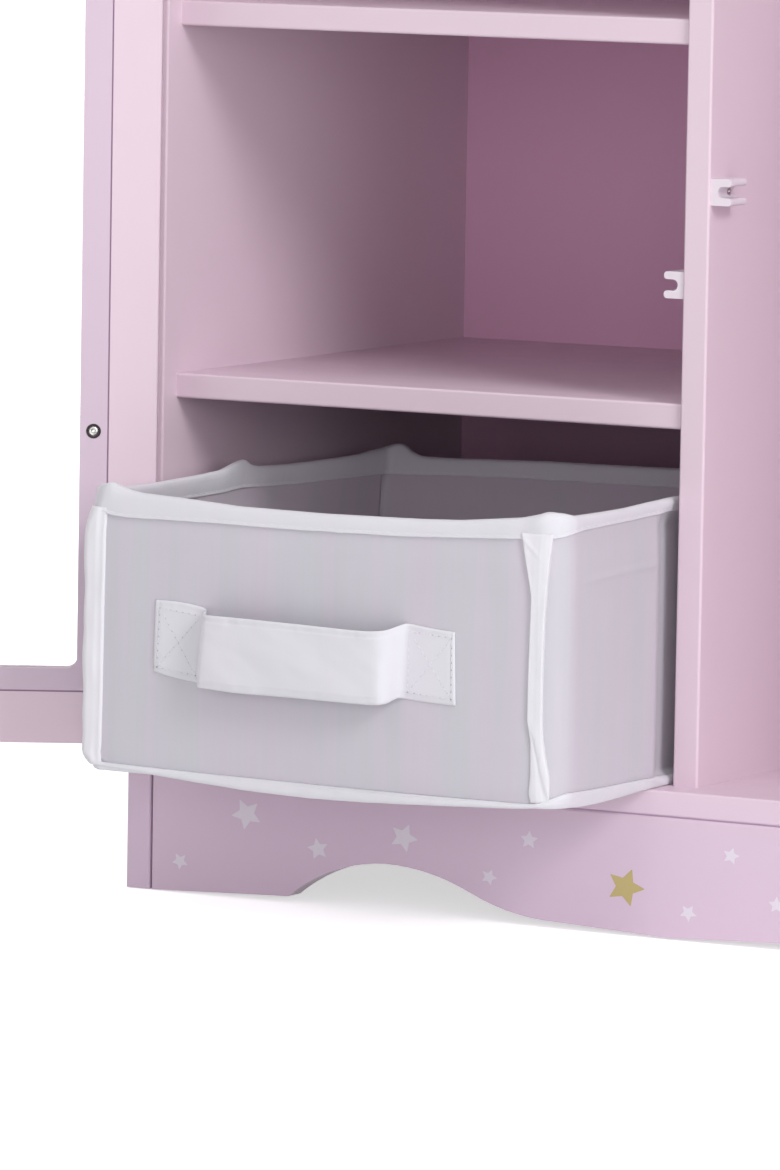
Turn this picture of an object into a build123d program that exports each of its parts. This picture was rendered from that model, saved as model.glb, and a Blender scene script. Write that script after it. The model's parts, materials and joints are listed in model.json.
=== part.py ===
from build123d import *
import math
import os

# Doll closet with two glazed doors, shelves on the left, a hanging bay on the right and a fabric bin.
# Millimetres. X runs along the width, Y from front to back, Z up.
# The origin is the middle of the footprint, on the floor.

# Carcase
board = 12.0                # shelves, top, bottom, skirt and doors
upright = 13.0              # side panels, divider and centre support
back_board = 5.0
bay_width = 274.4           # clear width of each of the two bays
cubby_height = 168.0        # clear height of each of the three left cubbies
cubby_count = 3
plinth_height = 58.0        # floor to the underside of the bottom panel
inner_depth = 295.0         # divider's front edge to the back panel
shelf_setback = 2.7         # shelf's front edge behind the divider's
foot_step = 7.2             # base stands this far in front of the side panels
top_overhang = 7.0          # top panel past the side panels
rebate_width = 6.5          # seat for the back panel in each side panel
edge_round = 1.2            # eased edges of the painted boards
joint_line = 1.1            # open joint at the ends of the skirt and the rear rail
skirt_top_gap = 0.4         # open joint between the skirt and the bottom panel
skirt_floor_gap = 0.6       # centre lobe of the skirt above the floor
rear_rail_floor_gap = 14.0

# Outline of the skirt, measured outward from its middle
lobe_half = 58.0            # gentle centre lobe
lobe_rise = 3.0             # height of its ends above the floor
arch_peak_at = 150.5
arch_peak_height = 23.1
arch_foot_at = 203.4        # sharp inner corner of the foot
arch_foot_height = 3.0
arch_shoulder_share = 0.57  # a point of the outer arch, as shares of its width and height
arch_shoulder_rise_share = 0.81

# Doors
door_thickness = 12.0
door_gap = 0.5              # closed door's inner face to the divider
door_proud = 2.7            # closed door's outer face past the side panels
meeting_gap = 1.5           # between the two doors
door_end_gap = 2.0          # above and below the doors
door_open_angle = 151.0     # how far both doors stand open at rest
stile_width = 23.2          # plain rim beside the retainer, on the inner face
rail_width = 25.0           # plain rim above and below the retainer
retainer_stile = 14.0       # joint and upright of the retainer
retainer_rail = 11.5
retainer_thickness = 4.6
retainer_gap = 0.8          # open joint round the retainer
retainer_drop = 0.4         # retainer's face below the door's
pane_thickness = 2.0
pane_gap = 0.5
window_corner = 5.0

# Retainer screws
retainer_screw_from_end = 151.5
retainer_screw_rows = 2
retainer_rail_pitch = 90.0  # between the two screws of each rail
retainer_rail_screws = 2
retainer_shank_radius = 1.2
retainer_head_radius = 2.6
retainer_head_height = 1.4
retainer_bore_radius = 3.6
retainer_bore_depth = 1.7
retainer_lip_bite = 3.6     # how far the screw goes into the door's lip

# Knobs
knob_radius = 12.0
knob_length = 20.0
knob_neck_radius = 5.5
knob_neck_length = 9.0
knob_shoulder_height = 11.0
knob_crown = 4.0
knob_screw_radius = 2.0
knob_screw_bite = 9.0
knob_screw_head_radius = 3.6
knob_screw_head_height = 2.2

# Door catches: a peg on the door goes between two prongs
catch_reach = 10.6
catch_height = 12.6
catch_web = 3.4
catch_depth = 16.0
catch_tip_round = 1.6
catch_setback = 1.5         # behind the divider's front edge
left_catch_above_shelf = 55.7
right_catch_above_left = 44.3
catch_screw_from_rear = 4.0
peg_radius = 2.4
peg_length = 8.0
peg_clearance = 0.25        # above and below the peg between the prongs
peg_from_slot_end = 1.9     # closed door's peg to the bottom of the slot
peg_flange_radius = 3.6
peg_flange_thickness = 1.0
peg_spigot_radius = 1.5
peg_spigot_length = 5.0
peg_tip_round = 1.0

# Hinges
hinge_height = 32.0
hinge_from_end = 58.0       # hinge's middle from the door's end
leaf_thickness = 0.6
leaf_gap = 0.3              # between the two leaves of a closed hinge
leaf_width = 12.2           # pin's axis to the leaf's far edge
barrel_radius = 1.7
barrel_clearance = 0.2      # barrel in front of the closed door
pin_radius = 0.8
pin_clearance = 0.05
pin_head_radius = 1.5
pin_head_height = 0.8
knuckle_gap = 0.4
knuckle_count = 3           # two on the cabinet's leaf, one on the door's
leaf_notch = 0.3            # leaf clear of the other leaf's knuckle
hinge_screw_radius = 1.0
hinge_screw_head = 1.8
hinge_screw_length = 8.0
hinge_screw_pitch = 18.0
hinge_screw_reach = 7.6     # pin's axis to the screws

# Hanging rod
rod_radius = 6.0
rod_drop = 45.0             # rod's axis below the top panel
rod_end_gap = 0.3
rod_fit = 0.08
socket_floor = 2.0
socket_depth = 10.0
socket_wall = 2.0
socket_flange_radius = 14.0
socket_screw_at = 11.0
socket_screw_radius = 1.2
socket_screw_head = 2.2
socket_screw_head_height = 1.4
socket_screw_length = 9.0

# Fasteners of the carcase
fastener_fit = 0.05         # clearance round every shank and dowel
panel_screw_radius = 2.4
panel_screw_length = 42.0
panel_screw_head_radius = 4.0
panel_screw_head_height = 2.6
cap_radius = 6.0
cap_thickness = 1.1
cap_round = 0.5
dowel_radius = 3.0
dowel_length = 24.0
dowel_seat = 8.0            # depth in the face of a board
front_fixing_share = 0.16   # front and back rows of fixings, as shares of the inner depth
rear_fixing_share = 0.84
front_dowel_share = 0.27
rear_dowel_share = 0.73
rail_dowel_share = 0.67     # height of the dowels of the skirt and rail, as a share of the plinth
divider_screw_radius = 2.0
divider_screw_length = 34.0
divider_screw_head_radius = 3.6
divider_screw_head_height = 2.4
back_screw_radius = 1.2
back_screw_length = 16.0
back_screw_head_radius = 2.6
back_screw_head_height = 1.5
back_screw_rows = 4
recess_share = 0.62         # cross recess of a screw, as shares of its head
recess_width_share = 0.26
recess_depth_share = 0.55

# Fabric bin
bin_headroom = 32.6         # above the bin in its cubby
bin_back_room = 19.0        # the bin is this much shorter than the cubby is deep
bin_right_gap = 2.4         # right wall to the divider
bin_wall = 2.2
bin_floor_board = 3.0
bin_left_gap = 18.4         # left wall to the side panel
bin_floor_gap = 0.4
bin_drawn_out = 110.0       # front wall in front of the divider at rest
tape_thickness = 0.8
rim_tape_width = 9.5
edge_tape_width = 8.5
corner_tape_width = 10.0
handle_height = 34.5
handle_middle = 63.0        # handle's middle above the bin's bottom
handle_offset = 6.8         # handle's middle left of the bin's
handle_span = 106.0         # free part of the strap
handle_patch = 29.0
handle_bow = 11.0
handle_thickness = 1.8
handle_turn = 11.0          # length in which the strap leaves the wall

overrun = 5.0               # cutting tools reach this far past what they cut

# Planes that follow from the sizes above
inner_half = bay_width + upright / 2
outer_half = inner_half + upright
side_setback = door_thickness + door_gap - door_proud
depth = foot_step + side_setback + inner_depth + back_board
base_front = -depth / 2
side_front = base_front + foot_step
divider_front = side_front + side_setback
back_front = divider_front + inner_depth
rear = back_front + back_board
door_inner = divider_front - door_gap
door_outer = door_inner - door_thickness
bottom_top = plinth_height + board
row_pitch = cubby_height + board
lid_under = bottom_top + cubby_count * row_pitch - board
height = lid_under + board
shelf_tops = [bottom_top + row * row_pitch for row in range(1, cubby_count)]
door_low = bottom_top + door_end_gap
door_high = lid_under - door_end_gap
door_middle = (door_low + door_high) / 2
hinge_gap = 2 * leaf_thickness + leaf_gap
door_edge = -inner_half + hinge_gap
door_free = -meeting_gap / 2
pin_x = -inner_half + hinge_gap / 2
pin_y = door_outer - barrel_clearance - barrel_radius
window_side = stile_width + retainer_stile
window_end = rail_width + retainer_rail
catch_slot = 2 * (peg_radius + peg_clearance)
left_catch_height = shelf_tops[0] + left_catch_above_shelf
right_catch_height = left_catch_height + right_catch_above_left
peg_x = -upright / 2 - catch_web - peg_from_slot_end - peg_radius
bin_width = bay_width - bin_left_gap - bin_right_gap
bin_depth = inner_depth - bin_back_room
bin_height = cubby_height - bin_floor_gap - bin_headroom
fixing_rows = [divider_front + share * inner_depth for share in (front_fixing_share, rear_fixing_share)]
dowel_rows = [divider_front + share * inner_depth for share in (front_dowel_share, rear_dowel_share)]


def slab(xs, ys, zs):
    """A box between two X, two Y and two Z planes."""
    middle = Pos((xs[0] + xs[1]) / 2, (ys[0] + ys[1]) / 2, (zs[0] + zs[1]) / 2)
    return middle * Box(xs[1] - xs[0], ys[1] - ys[0], zs[1] - zs[0])


def along(start, direction):
    """A place at start whose local Z points in the direction."""
    return Plane(origin=start, z_dir=direction).location


def rod_between(start, direction, radius, length):
    """A round bar from start in the direction."""
    return along(start, direction) * Cylinder(radius, length, align=(Align.CENTER, Align.CENTER, Align.MIN))


def ease(shape, edges):
    return fillet(edges, edge_round) if edges else shape


def ease_front(shape, axis):
    """Rounds the front edges that run along the axis."""
    return ease(shape, shape.edges().filter_by(axis).group_by(Axis.Y)[0])


def screw(seat, direction, shank_radius, shank_length, head_radius, head_height):
    """A screw whose head's underside is at seat and whose shank runs in the direction."""
    shank = rod_between((0, 0, 0), (0, 0, 1), shank_radius, shank_length)
    head = rod_between((0, 0, 0), (0, 0, -1), head_radius, head_height)
    arm = head_radius * recess_share
    half_width = head_radius * recess_width_share / 2
    recess_floor = -head_height + head_height * recess_depth_share
    recess_zs = (-head_height - overrun, recess_floor)
    recess = slab((-arm, arm), (-half_width, half_width), recess_zs)
    recess += slab((-half_width, half_width), (-arm, arm), recess_zs)
    return along(seat, direction) * (shank + head - recess)


def screw_hole(seat, direction, shank_radius, shank_length, head_radius, head_height):
    """The space of the same screw, with its clearance."""
    back = tuple(-part for part in direction)
    hole = rod_between(seat, direction, shank_radius + fastener_fit, shank_length + fastener_fit)
    return hole + rod_between(seat, back, head_radius + fastener_fit, head_height + overrun)


def group(solids):
    return Compound(children=list(solids))


def cut_all(shape, tools):
    for tool in tools:
        shape -= tool
    return shape


panel_screw_sizes = (panel_screw_radius, panel_screw_length, panel_screw_head_radius, panel_screw_head_height)
divider_screw_sizes = (divider_screw_radius, divider_screw_length,
                       divider_screw_head_radius, divider_screw_head_height)
back_screw_sizes = (back_screw_radius, back_screw_length, back_screw_head_radius, back_screw_head_height)


def panel_screw_places():
    """Seats and directions of the long screws through the side panels."""
    places = []
    for side in (-1, 1):
        middles = [bottom_top - board / 2]
        if side < 0:
            middles += [top - board / 2 for top in shelf_tops]
        for z in middles:
            for y in fixing_rows:
                seat = (side * (outer_half - panel_screw_head_height), y, z)
                places.append((seat, (-side, 0, 0)))
    return places


def dowel_places():
    """Starts, directions and seats of the dowels, by the joint that they hold."""
    shelf = [((-upright / 2 + dowel_seat, y, top - board / 2), (-1, 0, 0))
             for top in shelf_tops for y in dowel_rows]
    top = [((x, y, lid_under + dowel_seat), (0, 0, -1))
           for x in (-inner_half - upright / 2, 0, inner_half + upright / 2) for y in dowel_rows]
    rail_y = (base_front + board / 2, back_front + back_board - board / 2)
    rail_z = plinth_height * rail_dowel_share
    rail = [((side * (inner_half + dowel_seat), y, rail_z), (-side, 0, 0))
            for side in (-1, 1) for y in rail_y]
    support = [((0, y, plinth_height + dowel_seat), (0, 0, -1)) for y in dowel_rows]
    return {"shelf": shelf, "top": top, "rail": rail, "support": support}


def dowels(kinds):
    places = [place for kind in kinds for place in dowel_places()[kind]]
    return [rod_between(start, direction, dowel_radius, dowel_length) for start, direction in places]


def dowel_holes(kinds):
    """The dowels' spaces: a little wider and a little longer at both ends."""
    holes = []
    for kind in kinds:
        for start, direction in dowel_places()[kind]:
            place = Vector(*start) - Vector(*direction) * fastener_fit
            length = dowel_length + 2 * fastener_fit
            holes.append(rod_between(tuple(place), direction, dowel_radius + fastener_fit, length))
    return holes


def divider_screw_places():
    seat_z = plinth_height + divider_screw_head_height
    return [((0, y, seat_z), (0, 0, 1)) for y in fixing_rows]


def back_screw_places():
    """Screws through the back panel into the side panels and the divider."""
    seat_y = rear - back_screw_head_height
    first = bottom_top + board
    step = (lid_under - board - first) / (back_screw_rows - 1)
    columns = (-inner_half - rebate_width / 2, 0, inner_half + rebate_width / 2)
    return [((x, seat_y, first + row * step), (0, -1, 0)) for x in columns for row in range(back_screw_rows)]


def side_outline():
    """Side panel seen from the side: the foot steps forward to the front of the base."""
    points = [(base_front, 0), (rear, 0), (rear, lid_under), (side_front, lid_under),
              (side_front, bottom_top), (base_front, bottom_top)]
    return Polyline(*points, close=True)


def side_panel(side):
    plane = Plane(origin=(side * inner_half, 0, 0), x_dir=(0, 1, 0), z_dir=(1, 0, 0))
    panel = extrude(plane * make_face(side_outline()), amount=side * upright)
    panel = ease(panel, panel.edges().filter_by(Axis.Z).filter_by_position(Axis.Y, base_front, side_front))
    rebate = slab(sorted((side * inner_half, side * (inner_half + rebate_width))),
                  (back_front, rear + overrun), (plinth_height, lid_under + overrun))
    panel -= rebate
    tools = [screw_hole(seat, direction, *panel_screw_sizes) for seat, direction in panel_screw_places()
             if seat[0] * side > 0]
    tools += [screw_hole(seat, direction, *back_screw_sizes) for seat, direction in back_screw_places()]
    tools += dowel_holes(("top", "rail"))
    tools += [hinge_screw_tool(z, 1 if side < 0 else -1, True) for z in hinge_screw_rows()]
    if side > 0:
        tools += socket_screw_tools(1)
    return cut_all(panel, tools)


def centre_divider():
    half = upright / 2
    divider = ease_front(slab((-half, half), (divider_front, back_front), (bottom_top, lid_under)), Axis.Z)
    tools = dowel_holes(("shelf", "top"))
    tools += [screw_hole(seat, direction, *divider_screw_sizes) for seat, direction in divider_screw_places()]
    tools += [screw_hole(seat, direction, *back_screw_sizes) for seat, direction in back_screw_places()]
    tools += socket_screw_tools(-1)
    tools += [catch_screw_tool(side) for side in (-1, 1)]
    return cut_all(divider, tools)


def bottom_panel():
    panel = slab((-inner_half, inner_half), (base_front, back_front), (plinth_height, bottom_top))
    panel = ease_front(panel, Axis.X)
    tools = [screw_hole(seat, direction, *panel_screw_sizes) for seat, direction in panel_screw_places()]
    tools += [screw_hole(seat, direction, *divider_screw_sizes) for seat, direction in divider_screw_places()]
    return cut_all(panel, tools + dowel_holes(("support",)))


def top_panel():
    half = outer_half + top_overhang
    panel = slab((-half, half), (base_front, rear), (lid_under, height))
    panel = ease(panel, panel.edges())
    return cut_all(panel, dowel_holes(("top",)))


def back_panel():
    half = inner_half + rebate_width - fastener_fit
    panel = slab((-half, half), (back_front, rear), (plinth_height + fastener_fit, lid_under))
    return cut_all(panel, [screw_hole(seat, direction, *back_screw_sizes)
                           for seat, direction in back_screw_places()])


def shelf(top):
    plank = slab((-inner_half, -upright / 2), (divider_front + shelf_setback, back_front), (top - board, top))
    plank = ease_front(plank, Axis.X)
    tools = [screw_hole(seat, direction, *panel_screw_sizes) for seat, direction in panel_screw_places()
             if seat[0] < 0]
    return cut_all(plank, tools + dowel_holes(("shelf",)))


def skirt_half_edge(side):
    """Lower edge of the skirt from its middle to its end, on one side."""
    end = inner_half - joint_line
    shoulder_at = arch_foot_at + (arch_peak_at - arch_foot_at) * arch_shoulder_share
    shoulder_height = arch_foot_height + (arch_peak_height - arch_foot_height) * arch_shoulder_rise_share
    bend_at = (lobe_half + arch_peak_at) / 2
    bend_height = (lobe_rise + arch_peak_height) / 2

    def at(x, z):
        return (side * x, z)

    lobe = Line(at(0, skirt_floor_gap), at(lobe_half, lobe_rise))
    rise = TangentArc(at(lobe_half, lobe_rise), at(bend_at, bend_height), tangent=(side, 0))
    crest = TangentArc(at(arch_peak_at, arch_peak_height), at(bend_at, bend_height), tangent=(-side, 0))
    outer = ThreePointArc(at(arch_peak_at, arch_peak_height), at(shoulder_at, shoulder_height),
                          at(arch_foot_at, arch_foot_height))
    foot = Line(at(arch_foot_at, arch_foot_height), at(end, 0))
    return [lobe, rise, crest, outer, foot], end


def front_skirt():
    right, end = skirt_half_edge(1)
    left, end = skirt_half_edge(-1)
    top = plinth_height - skirt_top_gap
    frame_lines = [Line((end, 0), (end, top)), Line((end, top), (-end, top)), Line((-end, top), (-end, 0))]
    outline = make_face(Curve() + right + left + frame_lines)
    plane = Plane(origin=(0, base_front, 0), x_dir=(1, 0, 0), z_dir=(0, -1, 0))
    skirt = extrude(plane * outline, amount=-board)
    front_edges = skirt.edges().group_by(Axis.Y)[0]
    skirt = ease(skirt, front_edges.filter_by(Axis.X) + front_edges.filter_by(Axis.Z))
    return cut_all(skirt, dowel_holes(("rail",)))


def rear_rail():
    rail = slab((-inner_half + joint_line, inner_half - joint_line), (rear - board, rear),
                (rear_rail_floor_gap, plinth_height))
    return cut_all(rail, dowel_holes(("rail",)))


def centre_support():
    half = upright / 2
    support = slab((-half, half), (base_front + board, rear - board), (0, plinth_height))
    return cut_all(support, dowel_holes(("support",)))


def rod_middle():
    return divider_front + inner_depth / 2, lid_under - rod_drop


def socket_screw_places(side):
    """Screws of one rod socket: on the divider with side -1, on the side panel with side 1."""
    y, z = rod_middle()
    face = upright / 2 if side < 0 else inner_half
    seat_x = face - side * (socket_floor - socket_screw_head_height)
    return [((seat_x, y + step * socket_screw_at, z), (side, 0, 0)) for step in (-1, 1)]


socket_screw_sizes = (socket_screw_radius, socket_screw_length, socket_screw_head, socket_screw_head_height)


def socket_screw_tools(side):
    return [screw_hole(seat, direction, *socket_screw_sizes) for seat, direction in socket_screw_places(side)]


def rod_socket(side):
    y, z = rod_middle()
    face = upright / 2 if side < 0 else inner_half
    cup_radius = rod_radius + rod_fit + socket_wall
    flange = rod_between((face, y, z), (-side, 0, 0), socket_flange_radius, socket_floor)
    cup = rod_between((face, y, z), (-side, 0, 0), cup_radius, socket_depth)
    bore = rod_between((face - side * socket_floor, y, z), (-side, 0, 0), rod_radius + rod_fit, socket_depth)
    return cut_all(flange + cup, [bore] + socket_screw_tools(side))


def hanging_rod():
    y, z = rod_middle()
    start = upright / 2 + socket_floor + rod_end_gap
    end = inner_half - socket_floor - rod_end_gap
    return rod_between((start, y, z), (1, 0, 0), rod_radius, end - start)


def catch_height_of(side):
    return left_catch_height if side < 0 else right_catch_height


def catch_screw_place(side):
    seat_x = side * (upright / 2 + catch_web - socket_screw_head_height)
    seat_y = divider_front + catch_setback + catch_depth - catch_screw_from_rear
    return (seat_x, seat_y, catch_height_of(side)), (-side, 0, 0)


def catch_screw_tool(side):
    return screw_hole(*catch_screw_place(side), *socket_screw_sizes)


def catch_fork(side):
    """Two prongs on the divider's face, one above the other, with a round-ended slot between."""
    face = upright / 2
    z = catch_height_of(side)
    front = divider_front + catch_setback
    body = slab(sorted((side * face, side * (face + catch_reach))), (front, front + catch_depth),
                (z - catch_height / 2, z + catch_height / 2))
    slot_radius = catch_slot / 2
    slot_start = face + catch_web + slot_radius
    slot = slab(sorted((side * slot_start, side * (face + catch_reach + overrun))),
                (front - overrun, front + catch_depth + overrun), (z - slot_radius, z + slot_radius))
    slot += rod_between((side * slot_start, front - overrun, z), (0, 1, 0), slot_radius,
                        catch_depth + 2 * overrun)
    fork = body - slot
    tips = fork.edges().filter_by(Axis.Y).group_by(Axis.X)[-1 if side > 0 else 0]
    fork = fillet(tips, catch_tip_round)
    return fork - catch_screw_tool(side)


def hinge_middles():
    return [door_low + hinge_from_end, door_high - hinge_from_end]


def hinge_screw_rows():
    return [z + step * hinge_screw_pitch / 2 for z in hinge_middles() for step in (-1, 1)]


def hinge_screw_cone(z, mirror_sign, cabinet, extra):
    """Countersunk head and shank of a hinge screw, grown by extra, at the left hinge or mirrored."""
    face = -inner_half if cabinet else door_edge
    inward = -1 if cabinet else 1
    head_x = face - inward * leaf_thickness
    head = Cone(hinge_screw_head + extra, hinge_screw_radius + extra, leaf_thickness,
                align=(Align.CENTER, Align.CENTER, Align.MIN))
    shank = Cylinder(hinge_screw_radius + extra, hinge_screw_length,
                     align=(Align.CENTER, Align.CENTER, Align.MIN))
    place = along((head_x * mirror_sign, pin_y + hinge_screw_reach, z), (inward * mirror_sign, 0, 0))
    return place * (head + shank)


def hinge_screw_tool(z, mirror_sign, cabinet):
    return hinge_screw_cone(z, mirror_sign, cabinet, fastener_fit)


def hinge_leaf(middle, cabinet):
    """One leaf of a left-hand hinge with its knuckles, the door closed."""
    low = middle - hinge_height / 2
    high = middle + hinge_height / 2
    knuckle = (hinge_height - (knuckle_count - 1) * knuckle_gap) / knuckle_count
    if cabinet:
        xs = (-inner_half, -inner_half + leaf_thickness)
        ranges = [(low, low + knuckle), (high - knuckle, high)]
    else:
        xs = (door_edge - leaf_thickness, door_edge)
        ranges = [(low + knuckle + knuckle_gap, high - knuckle - knuckle_gap)]
    neck = barrel_radius + leaf_notch
    leaf = slab(xs, (pin_y + neck, pin_y + leaf_width), (low, high))
    for start, end in ranges:
        leaf += slab(xs, (pin_y, pin_y + neck), (start, end))
        leaf += rod_between((pin_x, pin_y, start), (0, 0, 1), barrel_radius, end - start)
    leaf -= rod_between((pin_x, pin_y, low - overrun), (0, 0, 1), pin_radius + pin_clearance,
                        hinge_height + 2 * overrun)
    rows = [z for z in hinge_screw_rows() if low < z < high]
    return cut_all(leaf, [hinge_screw_tool(z, 1, cabinet) for z in rows])


def hinge_pin(middle):
    low = middle - hinge_height / 2
    pin = rod_between((pin_x, pin_y, low), (0, 0, 1), pin_radius, hinge_height)
    pin += rod_between((pin_x, pin_y, low), (0, 0, -1), pin_head_radius, pin_head_height)
    return pin + rod_between((pin_x, pin_y, low + hinge_height), (0, 0, 1), pin_head_radius, pin_head_height)


def retainer_screw_places():
    """Seats of the retainer's screws, evenly up each stile and paired along each rail."""
    stile_line = stile_width + (retainer_stile + retainer_gap) / 2
    rail_line = rail_width + (retainer_rail + retainer_gap) / 2
    seat_y = door_inner - retainer_drop - retainer_bore_depth
    first = door_low + retainer_screw_from_end
    pitch = (door_high - retainer_screw_from_end - first) / (retainer_screw_rows - 1)
    places = [(x, seat_y, first + row * pitch)
              for x in (door_edge + stile_line, door_free - stile_line)
              for row in range(retainer_screw_rows)]
    half_rails = (retainer_rail_screws - 1) / 2
    middle_x = (door_edge + door_free) / 2
    places += [(middle_x + (step - half_rails) * retainer_rail_pitch, seat_y, z)
               for z in (door_low + rail_line, door_high - rail_line)
               for step in range(retainer_rail_screws)]
    return places


def retainer_shank_length():
    return retainer_thickness - retainer_bore_depth + pane_thickness + retainer_lip_bite


def retainer_screw_tools():
    tools = []
    for place in retainer_screw_places():
        tools.append(rod_between(place, (0, -1, 0), retainer_shank_radius + fastener_fit,
                                 retainer_shank_length() + fastener_fit))
        tools.append(rod_between(place, (0, 1, 0), retainer_bore_radius, retainer_bore_depth + overrun))
    return tools


def margin_slab(side, end, ys):
    """A slab that leaves margins inside the door's outline, at its sides and at its ends."""
    return slab((door_edge + side, door_free - side), ys, (door_low + end, door_high - end))


def knob_place():
    return door_free - window_side / 2, door_middle


def knob_screw_sizes():
    shank = door_thickness - knob_screw_head_height + knob_screw_bite
    return (knob_screw_radius, shank, knob_screw_head_radius, knob_screw_head_height)


def knob_screw_seat():
    x, z = knob_place()
    return (x, door_inner - knob_screw_head_height, z), (0, -1, 0)


def door_frame(side):
    """Left-hand door frame, closed, with the peg's hole at the height of the given side's catch."""
    frame = slab((door_edge, door_free), (door_outer, door_inner), (door_low, door_high))
    frame = ease(frame, frame.edges())
    window = margin_slab(window_side, window_end, (door_outer - overrun, door_inner + overrun))
    window = fillet(window.edges().filter_by(Axis.Y), window_corner)
    rebate_floor = door_inner - retainer_drop - retainer_thickness - pane_thickness
    rebate = margin_slab(stile_width, rail_width, (rebate_floor, door_inner + overrun))
    tools = [window, rebate, *retainer_screw_tools(), screw_hole(*knob_screw_seat(), *knob_screw_sizes())]
    tools += [hinge_screw_tool(z, 1, False) for z in hinge_screw_rows()]
    peg_hole = rod_between((peg_x, door_inner, catch_height_of(side)), (0, -1, 0),
                           peg_spigot_radius + fastener_fit, peg_spigot_length + fastener_fit)
    return cut_all(frame, tools + [peg_hole])


def window_pane():
    front = door_inner - retainer_drop - retainer_thickness - pane_thickness
    pane = margin_slab(stile_width + pane_gap, rail_width + pane_gap, (front, front + pane_thickness))
    return cut_all(pane, retainer_screw_tools())


def window_retainer():
    face = door_inner - retainer_drop
    ys = (face - retainer_thickness, face)
    ring = margin_slab(stile_width + retainer_gap, rail_width + retainer_gap, ys)
    opening = margin_slab(window_side, window_end, (face - retainer_thickness - overrun, face + overrun))
    ring -= fillet(opening.edges().filter_by(Axis.Y), window_corner)
    return cut_all(ring, retainer_screw_tools())


def retainer_screws():
    sizes = (retainer_shank_radius, retainer_shank_length(), retainer_head_radius, retainer_head_height)
    return group(screw(place, (0, -1, 0), *sizes) for place in retainer_screw_places())


def door_knob():
    """A turned knob with the blind hole of its screw."""
    x, z = knob_place()
    rim = knob_length - knob_crown
    dome_radius = (knob_radius ** 2 + knob_crown ** 2) / (2 * knob_crown)
    half = knob_radius / 2
    on_dome = (half, knob_length - dome_radius + math.sqrt(dome_radius ** 2 - half ** 2))
    hole = knob_screw_radius + fastener_fit
    hole_end = knob_screw_bite + fastener_fit
    profile = Curve() + [
        Polyline((0, knob_length), (0, hole_end), (hole, hole_end), (hole, 0), (knob_neck_radius, 0),
                 (knob_neck_radius, knob_neck_length), (knob_radius, knob_shoulder_height),
                 (knob_radius, rim)),
        ThreePointArc((knob_radius, rim), on_dome, (0, knob_length)),
    ]
    turned = revolve(Plane.XZ * make_face(profile), Axis.Z)
    return along((x, door_outer, z), (0, -1, 0)) * turned


def door_peg(side):
    place = (peg_x, door_inner, catch_height_of(side))
    peg = rod_between(place, (0, 1, 0), peg_radius, peg_length)
    peg += rod_between(place, (0, 1, 0), peg_flange_radius, peg_flange_thickness)
    peg = fillet(peg.edges().group_by(Axis.Y)[-1], peg_tip_round)
    return peg + rod_between(place, (0, -1, 0), peg_spigot_radius, peg_spigot_length)


def door_pieces(side):
    """All that swings with a door, built closed at the left, keyed by its plain name."""
    return {
        "door_frame": door_frame(side),
        "door_pane": window_pane(),
        "door_retainer": window_retainer(),
        "retainer_screws": retainer_screws(),
        "door_knob": door_knob(),
        "knob_screw": screw(*knob_screw_seat(), *knob_screw_sizes()),
        "door_peg": door_peg(side),
        "hinge_door_leaves": group(hinge_leaf(z, False) for z in hinge_middles()),
        "hinge_door_screws": group(hinge_screw_cone(z, 1, False, 0) for z in hinge_screw_rows()),
    }


def swing_open(shape):
    """Turns a closed left-hand piece about the hinge pins to where it stands at rest."""
    about_pins = Axis((pin_x, pin_y, 0), (0, 0, 1))
    return shape.rotate(about_pins, -door_open_angle)


def bin_planes():
    """The bin's outer walls at rest: its X, Y and Z planes."""
    left = -inner_half + bin_left_gap
    front = divider_front - bin_drawn_out
    low = bottom_top + bin_floor_gap
    return (left, left + bin_width), (front, front + bin_depth), (low, low + bin_height)


def ring(grow, shrink, zs):
    """An upright tape round the bin, from grow outside its walls to shrink inside their faces."""
    xs, ys, _ = bin_planes()
    outer = slab((xs[0] - grow, xs[1] + grow), (ys[0] - grow, ys[1] + grow), zs)
    tall = (zs[0] - overrun, zs[1] + overrun)
    return outer - slab((xs[0] + shrink, xs[1] - shrink), (ys[0] + shrink, ys[1] - shrink), tall)


def bin_walls():
    xs, ys, zs = bin_planes()
    upright_zs = (zs[0], zs[1] - tape_thickness)
    side_ys = (ys[0] + bin_wall, ys[1] - bin_wall)
    return {
        "bin_front_wall": slab(xs, (ys[0], ys[0] + bin_wall), upright_zs),
        "bin_back_wall": slab(xs, (ys[1] - bin_wall, ys[1]), upright_zs),
        "bin_left_wall": slab((xs[0], xs[0] + bin_wall), side_ys, upright_zs),
        "bin_right_wall": slab((xs[1] - bin_wall, xs[1]), side_ys, upright_zs),
        "bin_base_board": slab((xs[0] + bin_wall, xs[1] - bin_wall), side_ys,
                               (zs[0], zs[0] + bin_floor_board)),
    }


def bin_rim_binding():
    """Tape folded over the top of the walls."""
    zs = bin_planes()[2]
    folded = ring(tape_thickness, bin_wall + tape_thickness, (zs[1] - rim_tape_width, zs[1]))
    return folded - ring(0, bin_wall, (zs[0], zs[1] - tape_thickness))


def bin_bottom_binding():
    zs = bin_planes()[2]
    return ring(tape_thickness, 0, (zs[0], zs[0] + edge_tape_width))


def bin_corner_bindings():
    """Tape round the four upright corners, between the rim's tape and the bottom's."""
    xs, ys, zs = bin_planes()
    skin = ring(tape_thickness, 0, (zs[0] + edge_tape_width, zs[1] - rim_tape_width))
    reach = corner_tape_width
    corners = []
    for x, inward in ((xs[0], 1), (xs[1], -1)):
        for y, back in ((ys[0], 1), (ys[1], -1)):
            span_x = sorted((x - inward * overrun, x + inward * reach))
            span_y = sorted((y - back * overrun, y + back * reach))
            corners.append(skin & slab(span_x, span_y, zs))
    return group(corners)


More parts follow.
